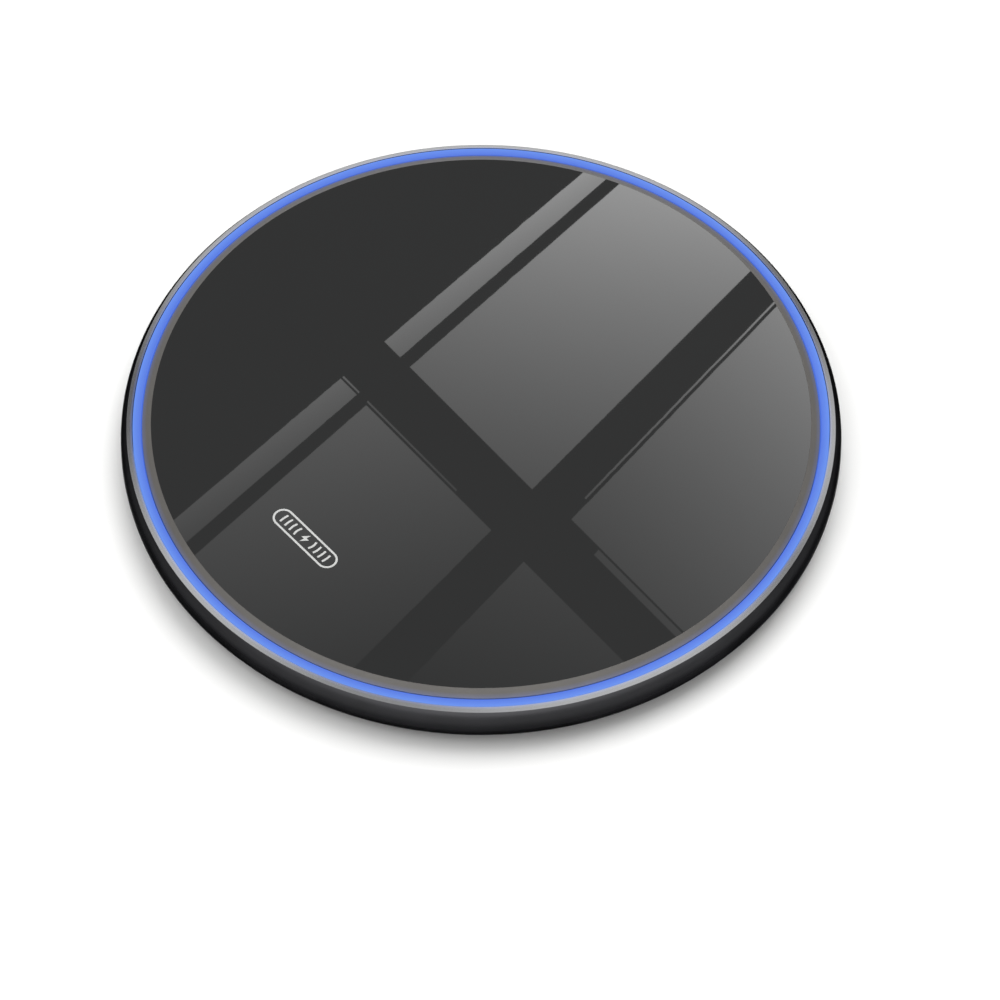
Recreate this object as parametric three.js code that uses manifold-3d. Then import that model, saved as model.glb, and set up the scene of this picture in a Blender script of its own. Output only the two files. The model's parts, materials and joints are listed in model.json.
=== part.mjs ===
// A round wireless charging pad, built as an assembly of separate solids.
//
// Millimetres, +Z up. The origin is on the desk, under the middle of the pad. The inlet faces +Y and
// the user sits on the -Y side. From below, the pad is: an anti-slip ring in a base cover, a circuit
// board with the charging coil on it, an inner cover, and a glass panel taped on top. A turned rim
// frame goes round them, and a light guide ring lies between the frame and the glass. Four screws
// under the anti-slip ring pull the inner cover down and the base cover up against the frame's ledge.

import * as THREE from 'three';
import { mergeVertices } from 'three/addons/utils/BufferGeometryUtils.js';
import Module from 'manifold-3d';

// ---------------------------------------------------------------------------------------------
// Driving dimensions
// ---------------------------------------------------------------------------------------------

// Rim frame
const PAD_RADIUS = 50; // the widest circle of the pad
const EDGE_RADIUS = 3; // rounding from the underside up to the widest circle
const SHOULDER_RADIUS = 2.9; // rounding from the widest circle up to the foot of the bright chamfer
const RIM_SETBACK = 0.85; // from the widest circle in to the foot of the chamfer
const CHAMFER_WIDTH = 0.7;
const CHAMFER_DROP = 0.28;
const RIM_LAND = 0.06; // flat left at the top of the chamfer
const LEDGE_RISE = 0.2; // the ledge's top, above the circuit board

// Light guide
const GUIDE_WIDTH = 1.2; // the ring that shows
const GUIDE_BELOW_GLASS = 0.7; // the ring's face, below the glass's face
const SKIRT_REACH = 2.3; // how far the guide's skirt reaches in under the inner cover
const GUIDE_CLEARANCE = 0.08; // to the frame's bore

// Glass panel
const GLASS_THICKNESS = 1.5;
const BEVEL_WIDTH = 1.25;
const BEVEL_DROP = 0.7;
const GLASS_CLEARANCE = 0.12; // to the light guide
const TAPE_THICKNESS = 0.2;
const TAPE_MARGIN = 1.4; // from the glass's edge in to the tape's edge

// Inner cover
const COVER_THICKNESS = 0.7;
const COVER_CLEARANCE = 0.3; // to the light guide
const COVER_BOSS_RADIUS = 2.2;
const RIB_WALL = 1;
const RIB_CLEARANCE = 1.2; // from the coil out to its locating rib
const ROOM_CLEARANCE = 0.1; // from the tallest piece under the cover to the cover

// Base cover and anti-slip ring
const BASE_THICKNESS = 1.2;
const BASE_CLEARANCE = 0.1; // to the frame
const BASE_LEDGE = 1.1; // width of the ledge that the base cover is pulled against
const BASE_BOSS_RADIUS = 3.4;
const BOARD_STANDOFF = 0.4; // from the base cover to the circuit board
const RING_WIDTH = 7.6;
const RING_MARGIN = 3.5; // from the base cover's edge in to the anti-slip ring
const RING_PROUD = 0.5; // how far the anti-slip ring stands out of the base
const RING_GROOVE = 0.5; // how deep it sits in the base
const RING_CLEARANCE = 0.1;
const RING_EDGE = 0.15; // chamfer on the ring's foot

// Vent slots in the base cover
const VENT_COUNT = 16;
const VENT_LENGTH = 5;
const VENT_WIDTH = 1.1;
const VENT_MARGIN = 2.2; // from the anti-slip ring in to the slots

// Screws
const SCREW_COUNT = 4;
const SCREW_HEAD_RADIUS = 1.9;
const SCREW_HEAD_HEIGHT = 0.55;
const SCREW_SHANK_RADIUS = 0.95;
const SCREW_BITE = 1.6; // how far the screw goes into the inner cover's boss
const SCREW_CROSS_WIDTH = 0.5;
const SCREW_CROSS_LENGTH = 2;
const SCREW_CROSS_DEPTH = 0.35;
const PILOT_CLEARANCE = 0.06;
const SHANK_CLEARANCE = 0.2;
const HEAD_CLEARANCE = 0.25;
const HEAD_SEAT = 0.45; // plastic left under the screw head

// Circuit board
const BOARD_THICKNESS = 1;
const BOARD_CLEARANCE = 0.6; // to the frame's ledge
const BOARD_HOLE_CLEARANCE = 0.35; // round the screw shanks

// Coil, ferrite and thermistor
const COIL_OUTER_RADIUS = 22;
const COIL_INNER_RADIUS = 10.25;
const COIL_THICKNESS = 1.2;
const FERRITE_MARGIN = 3; // from the coil out to the ferrite's edge
const FERRITE_THICKNESS = 0.7;
const FERRITE_TAPE = 0.1;
const FERRITE_HOLE_RADIUS = 1.5;
const LEAD_RADIUS = 0.5;
const LEAD_REACH = 3; // from the ferrite's edge out to the solder pads
const FLAT_LEAD_WIDTH = 1.6;
const FLAT_LEAD_THICKNESS = 0.6;
const SLOT_CLEARANCE = 0.3; // between the flat lead and the ferrite's slot
const LEAD_GAP = 0.3; // between a lead's end and the coil
const OUTER_LEAD_ANGLE = 8;
const INNER_LEAD_ANGLE = -9;
const BEAD_RADIUS = 1.1;
const BEAD_HEIGHT = 1;
const BEAD_PIN_RADIUS = 0.22;
const BEAD_PIN_PITCH = 1.1;

// USB-C inlet
const PORT_WIDTH = 8.34;
const PORT_HEIGHT = 2.56;
const SHELL_WALL = 0.3;
const SHELL_LENGTH = 7.35;
const SHELL_REAR_WALL = 0.9;
const SHELL_LIFT = 0.12; // above the base cover
const PORT_RECESS = 0.5; // the shell's mouth, inside the widest circle
const PORT_CLEARANCE = 0.15; // round the shell, in the frame
const TONGUE_WIDTH = 6.69;
const TONGUE_THICKNESS = 0.7;
const TONGUE_LENGTH = 4.45;

// LEDs
const LED_COUNT = 8;
const LED_SIZE = [1.2, 3, 1]; // radial, along the edge, height
const LED_SETBACK = 0.2; // from the board's edge

// Parts on the board: the angle round the pad and [radial, tangential, height]
const CHIPS = {
  controller_chip: { angle: 180, size: [6, 6, 0.85] },
  bridge_chip_1: { angle: 152, size: [6, 5, 1] },
  bridge_chip_2: { angle: 208, size: [6, 5, 1] },
  regulator_chip: { angle: 120, size: [1.6, 2.9, 1.1] },
  crystal: { angle: 194, size: [3.2, 2.5, 0.8] },
  sense_resistor: { angle: 236, size: [3.1, 6.3, 0.6] },
  input_capacitor_1: { angle: 68, size: [3.2, 2.5, 1.8] },
  input_capacitor_2: { angle: 110, size: [3.2, 2.5, 1.8] },
};
const RESONANT_COUNT = 4;
const RESONANT_SIZE = [4.5, 3.2, 1.7];
const RESONANT_ANGLE = 253.5; // where the row starts
const RESONANT_STEP = 11;
const PASSIVE_SIZE = [1.6, 0.8, 0.5];
const PASSIVE_COUNT = 6; // of resistors, and as many capacitors
const PASSIVE_STEP = 4;
const RESISTOR_ANGLE = 16; // where each row starts
const CAPACITOR_ANGLE = 324;
const THERMAL_PAD_SIZE = [9, 14];

const ROUND_STEPS = 72; // facets round the pad
const SMALL_STEPS = 16; // facets round a screw or a boss
const STADIUM_STEPS = 8; // facets round each end of a slot
const ARC_STEPS = 5;
const OVERCUT = 1; // how far a cutter runs past what it cuts

// ---------------------------------------------------------------------------------------------
// Places that follow from the dimensions
// ---------------------------------------------------------------------------------------------

// Heights, from the desk up
const BASE_Z = RING_PROUD;
const BASE_TOP_Z = BASE_Z + BASE_THICKNESS;
const BOARD_Z = BASE_TOP_Z + BOARD_STANDOFF;
const BOARD_TOP_Z = BOARD_Z + BOARD_THICKNESS;
const FERRITE_Z = BOARD_TOP_Z + FERRITE_TAPE;
const COIL_Z = FERRITE_Z + FERRITE_THICKNESS;
const COIL_TOP_Z = COIL_Z + COIL_THICKNESS;
const SHELL_HEIGHT = PORT_HEIGHT + 2 * SHELL_WALL;
const SHELL_TOP_Z = BASE_TOP_Z + SHELL_LIFT + SHELL_HEIGHT;
const TALLEST_PART = Math.max(RESONANT_SIZE[2], ...Object.values(CHIPS).map((chip) => chip.size[2]));
const COVER_Z = Math.max(COIL_TOP_Z, SHELL_TOP_Z, BOARD_TOP_Z + TALLEST_PART) + ROOM_CLEARANCE;
const TAPE_Z = COVER_Z + COVER_THICKNESS;
const GLASS_Z = TAPE_Z + TAPE_THICKNESS;
const PAD_HEIGHT = GLASS_Z + GLASS_THICKNESS;
const GUIDE_TOP_Z = PAD_HEIGHT - GUIDE_BELOW_GLASS;
const LEDGE_Z = BOARD_TOP_Z + LEDGE_RISE;
const PORT_Z = SHELL_TOP_Z - SHELL_HEIGHT / 2;

// Radii, from the coil out
const FERRITE_RADIUS = COIL_OUTER_RADIUS + FERRITE_MARGIN;
const PAD_CIRCLE = FERRITE_RADIUS + LEAD_REACH;

// Radii, from the rim in
const CHAMFER_OUTER = PAD_RADIUS - RIM_SETBACK;
const CHAMFER_INNER = CHAMFER_OUTER - CHAMFER_WIDTH;
const BORE_RADIUS = CHAMFER_INNER - RIM_LAND;
const GUIDE_OUTER = BORE_RADIUS - GUIDE_CLEARANCE;
const GUIDE_INNER = GUIDE_OUTER - GUIDE_WIDTH;
const SKIRT_INNER = GUIDE_INNER - SKIRT_REACH;
const GLASS_RADIUS = GUIDE_INNER - GLASS_CLEARANCE;
const COVER_RADIUS = GUIDE_INNER - COVER_CLEARANCE;
const LEDGE_RADIUS = SKIRT_INNER;
const OPENING_RADIUS = LEDGE_RADIUS + BASE_LEDGE;
const BASE_RADIUS = OPENING_RADIUS - BASE_CLEARANCE;
const BOARD_RADIUS = LEDGE_RADIUS - BOARD_CLEARANCE;
const RING_OUTER = BASE_RADIUS - RING_MARGIN;
const RING_INNER = RING_OUTER - RING_WIDTH;
const SCREW_CIRCLE = (RING_OUTER + RING_INNER) / 2;
const LED_CIRCLE = BOARD_RADIUS - LED_SETBACK - LED_SIZE[0] / 2;
const CHIP_CIRCLE = (FERRITE_RADIUS + LED_CIRCLE - LED_SIZE[0] / 2) / 2;

// The inlet, along Y
const SHELL_MOUTH_Y = PAD_RADIUS - PORT_RECESS;
const SHELL_REAR_Y = SHELL_MOUTH_Y - SHELL_LENGTH;

const SCREW_ANGLES = evenAngles(SCREW_COUNT);
const LED_ANGLES = evenAngles(LED_COUNT);

// ---------------------------------------------------------------------------------------------
// Helpers
// ---------------------------------------------------------------------------------------------

const wasm = await Module();
wasm.setup();

/** Evenly spaced angles in degrees, set so that none of them faces the inlet. */
function evenAngles(count) {
  return Array.from({ length: count }, (_, i) => (360 / count) * (i + 0.5));
}

/** Turns Y up into Z up without rounding. */
const Z_UP = new THREE.Matrix4().set(1, 0, 0, 0, 0, 0, -1, 0, 0, 1, 0, 0, 0, 0, 0, 1);

/** Solid of revolution about Z. The profile is [radius, z] points, anticlockwise if radius runs right. */
function turned(profile, steps = ROUND_STEPS) {
  const points = profile.map(([radius, z]) => new THREE.Vector2(radius, z));
  const startsOnAxis = profile[0][0] === 0;
  if (!startsOnAxis) points.push(points[0].clone());
  return new THREE.LatheGeometry(points, steps).applyMatrix4(Z_UP);
}

function disc(radius, bottom, top, steps = ROUND_STEPS) {
  return turned([[0, bottom], [radius, bottom], [radius, top], [0, top]], steps);
}

function ring(inner, outer, bottom, top, steps = ROUND_STEPS) {
  return turned([[inner, bottom], [outer, bottom], [outer, top], [inner, top]], steps);
}

/** Points on an arc in the profile plane, angles in degrees, both ends included. */
function arc(radius, z, size, from, to, steps = ARC_STEPS) {
  return Array.from({ length: steps + 1 }, (_, i) => {
    const angle = THREE.MathUtils.degToRad(from + ((to - from) * i) / steps);
    return [radius + size * Math.cos(angle), z + size * Math.sin(angle)];
  });
}

/** A box of [x, y, z] size, centred on x and y, standing on z. */
function box([x, y, z], at = [0, 0, 0]) {
  return new THREE.BoxGeometry(x, y, z).translate(at[0], at[1], at[2] + z / 2);
}

/** A slot with round ends in the XY plane, its long side along X. */
function stadium(length, width) {
  const end = (length - width) / 2;
  const shape = new THREE.Shape();
  shape.absarc(end, 0, width / 2, -Math.PI / 2, Math.PI / 2);
  shape.absarc(-end, 0, width / 2, Math.PI / 2, (3 * Math.PI) / 2);
  return shape;
}

function extruded(shape, depth) {
  return new THREE.ExtrudeGeometry(shape, { depth, bevelEnabled: false, curveSegments: STADIUM_STEPS });
}

/** A stadium prism that runs along Y from y0 to y1, centred on z, with its long side along X. */
function stadiumBar(width, height, y0, y1, z) {
  return extruded(stadium(width, height), y1 - y0).applyMatrix4(Z_UP).translate(0, y1, z);
}

/** A copy of a geometry, turned by an angle about Z and moved. */
function turnedCopy(geometry, degrees, x = 0, z = 0) {
  return geometry.clone().translate(x, 0, z).rotateZ(THREE.MathUtils.degToRad(degrees));
}

/** A copy of a geometry at each screw. */
function atScrews(geometry) {
  return SCREW_ANGLES.map((angle) => turnedCopy(geometry, angle, SCREW_CIRCLE));
}

function toSolid(geometry) {
  const bare = geometry.index ? geometry.toNonIndexed() : geometry.clone();
  bare.deleteAttribute('normal');
  bare.deleteAttribute('uv');
  const merged = mergeVertices(bare, 1e-4);
  return new wasm.Manifold(new wasm.Mesh({
    numProp: 3,
    vertProperties: merged.attributes.position.array,
    triVerts: new Uint32Array(merged.index.array),
  }));
}

function fromSolid(solid) {
  const mesh = solid.getMesh();
  const geometry = new THREE.BufferGeometry();
  geometry.setAttribute('position', new THREE.BufferAttribute(new Float32Array(mesh.vertProperties), 3));
  geometry.setIndex(new THREE.BufferAttribute(new Uint32Array(mesh.triVerts), 1));
  const faceted = geometry.toNonIndexed();
  faceted.computeVertexNormals();
  return faceted;
}

/** Joins geometries to a base and then cuts others from it. */
function carve(base, { join = [], cut = [] }) {
  let solid = toSolid(base);
  for (const piece of join) solid = solid.add(toSolid(piece));
  for (const piece of cut) solid = solid.subtract(toSolid(piece));
  return fromSolid(solid);
}

// ---------------------------------------------------------------------------------------------
// Materials
// ---------------------------------------------------------------------------------------------

function finish(color, roughness, metalness = 0) {
  return new THREE.MeshStandardMaterial({ color, roughness, metalness });
}

const MATERIALS = {
  blackGlass: finish(0x0b0c0c, 0.05),
  lightGuide: finish(0x5b86f2, 0.4),
  anodised: finish(0x1a1a1b, 0.4, 0.8),
  blackAbs: finish(0x1c1c1d, 0.6),
  whiteAbs: finish(0xe6e6e2, 0.5),
  silicone: finish(0x232324, 0.8),
  tape: finish(0xd9d4c4, 0.7),
  board: finish(0x14532f, 0.5),
  copper: finish(0xb8733a, 0.35, 0.9),
  ferrite: finish(0x3a3a3d, 0.7),
  steel: finish(0xb9bbbe, 0.3, 1),
  darkResin: finish(0x18181a, 0.5),
  ceramic: finish(0xb79a78, 0.5),
  led: finish(0xf4f4f0, 0.4),
  thermalGel: finish(0x9aa3b5, 0.7),
};

// ---------------------------------------------------------------------------------------------
// Casing
// ---------------------------------------------------------------------------------------------

/** Aluminium frame: a rounded side, a cut chamfer on top, and a ledge that everything is clamped to. */
function rimFrame() {
  // The shoulder is upright at the widest circle and leans in until it has come in by the setback.
  const lean = Math.acos(1 - RIM_SETBACK / SHOULDER_RADIUS);
  const shoulderZ = GUIDE_TOP_Z - CHAMFER_DROP - SHOULDER_RADIUS * Math.sin(lean);
  const leanDegrees = THREE.MathUtils.radToDeg(lean);
  const profile = turned([
    [OPENING_RADIUS, BASE_Z],
    ...arc(PAD_RADIUS - EDGE_RADIUS, BASE_Z + EDGE_RADIUS, EDGE_RADIUS, -90, 0),
    ...arc(PAD_RADIUS - SHOULDER_RADIUS, shoulderZ, SHOULDER_RADIUS, 0, leanDegrees),
    [CHAMFER_INNER, GUIDE_TOP_Z],
    [BORE_RADIUS, GUIDE_TOP_Z],
    [BORE_RADIUS, LEDGE_Z],
    [LEDGE_RADIUS, LEDGE_Z],
    [LEDGE_RADIUS, BASE_TOP_Z],
    [OPENING_RADIUS, BASE_TOP_Z],
  ]);
  const portWidth = PORT_WIDTH + 2 * (SHELL_WALL + PORT_CLEARANCE);
  const portHeight = SHELL_HEIGHT + 2 * PORT_CLEARANCE;
  const port = stadiumBar(portWidth, portHeight, SHELL_REAR_Y - OVERCUT, PAD_RADIUS + OVERCUT, PORT_Z);
  return carve(profile, { cut: [port] });
}

/** Clear ring with a skirt under the inner cover that takes in the light of the LEDs. */
function lightGuide() {
  const section = turned([
    [SKIRT_INNER, LEDGE_Z],
    [GUIDE_OUTER, LEDGE_Z],
    [GUIDE_OUTER, GUIDE_TOP_Z],
    [GUIDE_INNER, GUIDE_TOP_Z],
    [GUIDE_INNER, COVER_Z],
    [SKIRT_INNER, COVER_Z],
  ]);
  // The notch is as tall as the skirt, so no thin web is left over the inlet's shell.
  const notchTop = COVER_Z + PORT_CLEARANCE;
  const notchWidth = PORT_WIDTH + 2 * (SHELL_WALL + 2 * PORT_CLEARANCE);
  const notchY = (SHELL_REAR_Y + PAD_RADIUS) / 2;
  const notch = box([notchWidth, PAD_RADIUS - SHELL_REAR_Y, notchTop - BASE_Z], [0, notchY, BASE_Z]);
  return carve(section, { cut: [notch] });
}

/** Glass disc with a ground bevel round its face. */
function glassPanel() {
  return turned([
    [0, GLASS_Z],
    [GLASS_RADIUS, GLASS_Z],
    [GLASS_RADIUS, PAD_HEIGHT - BEVEL_DROP],
    [GLASS_RADIUS - BEVEL_WIDTH, PAD_HEIGHT],
    [0, PAD_HEIGHT],
  ]);
}

function panelAdhesive() {
  return disc(GLASS_RADIUS - TAPE_MARGIN, TAPE_Z, GLASS_Z);
}

/** Plate under the glass, on the light guide's skirt, with screw bosses and a rib round the coil. */
function innerCover() {
  const rib = ring(COIL_OUTER_RADIUS + RIB_CLEARANCE, COIL_OUTER_RADIUS + RIB_CLEARANCE + RIB_WALL,
    COIL_Z + ROOM_CLEARANCE, COVER_Z + COVER_THICKNESS / 2);
  const boss = disc(COVER_BOSS_RADIUS, BOARD_TOP_Z, COVER_Z + COVER_THICKNESS / 2, SMALL_STEPS);
  const pilot = disc(SCREW_SHANK_RADIUS + PILOT_CLEARANCE, BOARD_TOP_Z - OVERCUT, COVER_Z, SMALL_STEPS);
  const leadGap = box([RIB_WALL + 2 * RIB_CLEARANCE + OVERCUT, 4 * LEAD_RADIUS, COVER_Z - BOARD_TOP_Z],
    [COIL_OUTER_RADIUS + RIB_CLEARANCE + RIB_WALL / 2, 0, BOARD_TOP_Z]);
  return carve(disc(COVER_RADIUS, COVER_Z, TAPE_Z), {
    join: [rib, ...atScrews(boss)],
    cut: [turnedCopy(leadGap, OUTER_LEAD_ANGLE), ...atScrews(pilot)],
  });
}

/** Bottom plate with a groove for the anti-slip ring, counterbored screw holes and a ring of vent slots. */
function baseCover() {
  const grooveZ = BASE_Z + RING_GROOVE;
  const plate = turned([
    [0, BASE_Z],
    [RING_INNER - RING_CLEARANCE, BASE_Z],
    [RING_INNER - RING_CLEARANCE, grooveZ],
    [RING_OUTER + RING_CLEARANCE, grooveZ],
    [RING_OUTER + RING_CLEARANCE, BASE_Z],
    [BASE_RADIUS, BASE_Z],
    [BASE_RADIUS, BASE_TOP_Z],
    [0, BASE_TOP_Z],
  ]);
  const boss = disc(BASE_BOSS_RADIUS, BASE_TOP_Z - BASE_THICKNESS / 4, BOARD_Z, SMALL_STEPS);
  const counterbore = disc(SCREW_HEAD_RADIUS + HEAD_CLEARANCE, BASE_Z, BOARD_Z - HEAD_SEAT, SMALL_STEPS);
  const hole = disc(SCREW_SHANK_RADIUS + SHANK_CLEARANCE, BASE_Z, BOARD_Z + OVERCUT, SMALL_STEPS);
  const ventCentre = RING_INNER - VENT_MARGIN - VENT_LENGTH / 2;
  const vent = extruded(stadium(VENT_LENGTH, VENT_WIDTH), BASE_THICKNESS + 2 * OVERCUT);
  return carve(plate, {
    join: atScrews(boss),
    cut: [
      ...atScrews(counterbore),
      ...atScrews(hole),
      ...evenAngles(VENT_COUNT).map((angle) => turnedCopy(vent, angle, ventCentre, BASE_Z - OVERCUT)),
    ],
  });
}

/** Silicone ring that the pad stands on. It lies in the base cover's groove, over the screw heads. */
function antislipRing() {
  return turned([
    [RING_INNER + RING_EDGE, 0],
    [RING_OUTER - RING_EDGE, 0],
    [RING_OUTER, RING_EDGE],
    [RING_OUTER, BASE_Z + RING_GROOVE],
    [RING_INNER, BASE_Z + RING_GROOVE],
    [RING_INNER, RING_EDGE],
  ]);
}

/** Cross-head screw with its head down. Its origin is on the seat under the head. */
function screw() {
  const length = BOARD_TOP_Z + SCREW_BITE - (BOARD_Z - HEAD_SEAT);
  const turning = turned([
    [0, -SCREW_HEAD_HEIGHT],
    [SCREW_HEAD_RADIUS, -SCREW_HEAD_HEIGHT],
    [SCREW_HEAD_RADIUS, 0],
    [SCREW_SHANK_RADIUS, 0],
    [SCREW_SHANK_RADIUS, length - SCREW_SHANK_RADIUS],
    [0, length],
  ], SMALL_STEPS);
  const crossDepth = SCREW_CROSS_DEPTH + OVERCUT;
  const crossZ = -SCREW_HEAD_HEIGHT - OVERCUT;
  return carve(turning, {
    cut: [
      box([SCREW_CROSS_LENGTH, SCREW_CROSS_WIDTH, crossDepth], [0, 0, crossZ]),
      box([SCREW_CROSS_WIDTH, SCREW_CROSS_LENGTH, crossDepth], [0, 0, crossZ]),
    ],
  });
}

// ---------------------------------------------------------------------------------------------
// Electronics
// ---------------------------------------------------------------------------------------------

/** Round board with screw holes and a notch that the inlet's shell sits in. */
function circuitBoard() {
  const holeRadius = SCREW_SHANK_RADIUS + BOARD_HOLE_CLEARANCE;
  const hole = disc(holeRadius, BOARD_Z - OVERCUT, BOARD_TOP_Z + OVERCUT, SMALL_STEPS);
  const notchRear = SHELL_REAR_Y - PORT_CLEARANCE;
  const notchWidth = PORT_WIDTH + 2 * (SHELL_WALL + PORT_CLEARANCE);
  const notch = box([notchWidth, PAD_RADIUS - notchRear, BOARD_THICKNESS + 2 * OVERCUT],
    [0, (PAD_RADIUS + notchRear) / 2, BOARD_Z - OVERCUT]);
  return carve(disc(BOARD_RADIUS, BOARD_Z, BOARD_TOP_Z), {
    cut: [notch, ...atScrews(hole)],
  });
}

/** A disc under the coil with a slot for the flat lead and a hole for the thermistor's pins. */
function slottedDisc(bottom, top) {
  const slotWidth = FLAT_LEAD_WIDTH + 2 * SLOT_CLEARANCE;
  const slotStart = COIL_INNER_RADIUS - LEAD_GAP - FLAT_LEAD_WIDTH - SLOT_CLEARANCE;
  const slotEnd = FERRITE_RADIUS + OVERCUT;
  const slot = box([slotEnd - slotStart, slotWidth, top - bottom + 2 * OVERCUT],
    [(slotStart + slotEnd) / 2, 0, bottom - OVERCUT]);
  const hole = disc(FERRITE_HOLE_RADIUS, bottom - OVERCUT, top + OVERCUT, SMALL_STEPS);
  return carve(disc(FERRITE_RADIUS, bottom, top), { cut: [turnedCopy(slot, INNER_LEAD_ANGLE), hole] });
}

function chargingCoil() {
  return ring(COIL_INNER_RADIUS, COIL_OUTER_RADIUS, COIL_Z, COIL_TOP_Z);
}

/** Round lead from the coil's outer turn down to its solder pad, made along +X. */
function outerLead() {
  const coilZ = COIL_Z + COIL_THICKNESS / 2;
  const padZ = BOARD_TOP_Z + LEAD_RADIUS;
  const start = COIL_OUTER_RADIUS + LEAD_GAP;
  const path = new THREE.CatmullRomCurve3([
    new THREE.Vector3(start, 0, coilZ),
    new THREE.Vector3(FERRITE_RADIUS, 0, coilZ),
    new THREE.Vector3(FERRITE_RADIUS + 3 * LEAD_RADIUS, 0, (coilZ + padZ) / 2),
    new THREE.Vector3(PAD_CIRCLE, 0, padZ),
    new THREE.Vector3(PAD_CIRCLE + 3 * LEAD_RADIUS, 0, padZ),
  ]);
  const section = new THREE.Shape().absarc(0, 0, LEAD_RADIUS, 0, 2 * Math.PI);
  return new THREE.ExtrudeGeometry(section, { steps: 10, extrudePath: path, curveSegments: 4 });
}

/** Flat lead that lies in the ferrite's slot and turns up to the coil's inner turn, made along +X. */
function innerLead() {
  const bottom = BOARD_TOP_Z;
  const top = COIL_Z + COIL_THICKNESS / 2;
  const riserOuter = COIL_INNER_RADIUS - LEAD_GAP;
  const riserInner = riserOuter - FLAT_LEAD_WIDTH;
  const outline = new THREE.Shape([
    new THREE.Vector2(riserInner, bottom),
    new THREE.Vector2(PAD_CIRCLE, bottom),
    new THREE.Vector2(PAD_CIRCLE, bottom + FLAT_LEAD_THICKNESS),
    new THREE.Vector2(riserOuter, bottom + FLAT_LEAD_THICKNESS),
    new THREE.Vector2(riserOuter, top),
    new THREE.Vector2(riserInner, top),
  ]);
  return extruded(outline, FLAT_LEAD_WIDTH).applyMatrix4(Z_UP).translate(0, FLAT_LEAD_WIDTH / 2, 0);
}

/** Bead in the middle of the coil, with two pins through the ferrite down to the board. */
function thermistor() {
  const bead = turned([
    [0, COIL_Z],
    [BEAD_RADIUS * 0.6, COIL_Z],
    [BEAD_RADIUS, COIL_Z + BEAD_HEIGHT * 0.4],
    [BEAD_RADIUS * 0.7, COIL_Z + BEAD_HEIGHT * 0.85],
    [0, COIL_Z + BEAD_HEIGHT],
  ], SMALL_STEPS);
  const pin = disc(BEAD_PIN_RADIUS, BOARD_TOP_Z, COIL_Z + BEAD_HEIGHT / 2, STADIUM_STEPS);
  const pins = [-1, 1].map((side) => pin.clone().translate((side * BEAD_PIN_PITCH) / 2, 0, 0));
  return carve(bead, { join: pins });
}

/** Drawn steel shell of the inlet, open at its mouth and closed behind. */
function usbShell() {
  const outer = stadiumBar(PORT_WIDTH + 2 * SHELL_WALL, SHELL_HEIGHT, SHELL_REAR_Y, SHELL_MOUTH_Y, PORT_Z);
  const rear = SHELL_REAR_Y + SHELL_REAR_WALL;
  const inner = stadiumBar(PORT_WIDTH, PORT_HEIGHT, rear, SHELL_MOUTH_Y + OVERCUT, PORT_Z);
  return carve(outer, { cut: [inner] });
}

/** Insulator block and tongue inside the shell, a little clear of its walls. */
function usbTongue() {
  const clearance = PORT_CLEARANCE / 3;
  const rear = SHELL_REAR_Y + SHELL_REAR_WALL + clearance;
  const blockLength = SHELL_LENGTH - SHELL_REAR_WALL - TONGUE_LENGTH - PORT_RECESS - clearance;
  const blockWidth = PORT_WIDTH - 2 * clearance;
  const blockHeight = PORT_HEIGHT - 2 * clearance;
  const block = stadiumBar(blockWidth, blockHeight, rear, rear + blockLength, PORT_Z);
  const tongue = box([TONGUE_WIDTH, TONGUE_LENGTH + blockLength, TONGUE_THICKNESS],
    [0, rear + (TONGUE_LENGTH + blockLength) / 2, PORT_Z - TONGUE_THICKNESS / 2]);
  return carve(block, { join: [tongue] });
}

// ---------------------------------------------------------------------------------------------
// Assembly
// ---------------------------------------------------------------------------------------------

const pad = new THREE.Group();
pad.name = 'wireless_charging_pad';

function add(name, geometry, material) {
  const mesh = new THREE.Mesh(geometry, material);
  mesh.name = name;
  pad.add(mesh);
  return mesh;
}

/** Adds a piece at a radius and angle round the pad, turned so that its own X points outwards. */
function addAround(name, geometry, material, radius, degrees, z) {
  const mesh = add(name, geometry, material);
  const angle = THREE.MathUtils.degToRad(degrees);
  mesh.position.set(radius * Math.cos(angle), radius * Math.sin(angle), z);
  mesh.rotation.z = angle;
  return mesh;
}

add('antislip_ring', antislipRing(), MATERIALS.silicone);
add('base_cover', baseCover(), MATERIALS.blackAbs);
add('rim_frame', rimFrame(), MATERIALS.anodised);
add('light_guide', lightGuide(), MATERIALS.lightGuide);
add('inner_cover', innerCover(), MATERIALS.whiteAbs);
add('panel_adhesive', panelAdhesive(), MATERIALS.tape);
add('glass_panel', glassPanel(), MATERIALS.blackGlass);
SCREW_ANGLES.forEach((angle, i) => {
  addAround(`screw_${i + 1}`, screw(), MATERIALS.steel, SCREW_CIRCLE, angle, BOARD_Z - HEAD_SEAT);
});

add('circuit_board', circuitBoard(), MATERIALS.board);
add('ferrite_adhesive', slottedDisc(BOARD_TOP_Z, FERRITE_Z), MATERIALS.tape);
add('ferrite_sheet', slottedDisc(FERRITE_Z, COIL_Z), MATERIALS.ferrite);
add('charging_coil', chargingCoil(), MATERIALS.copper);
addAround('coil_lead_outer', outerLead(), MATERIALS.copper, 0, OUTER_LEAD_ANGLE, 0);
addAround('coil_lead_inner', innerLead(), MATERIALS.copper, 0, INNER_LEAD_ANGLE, 0);
add('thermistor', thermistor(), MATERIALS.darkResin);
add('usb_shell', usbShell(), MATERIALS.steel);
add('usb_tongue', usbTongue(), MATERIALS.darkResin);

const thermalPad = box([...THERMAL_PAD_SIZE, BOARD_STANDOFF]);
const thermalPadAngle = CHIPS.controller_chip.angle;
addAround('thermal_pad', thermalPad, MATERIALS.thermalGel, CHIP_CIRCLE, thermalPadAngle, BASE_TOP_Z);

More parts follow.
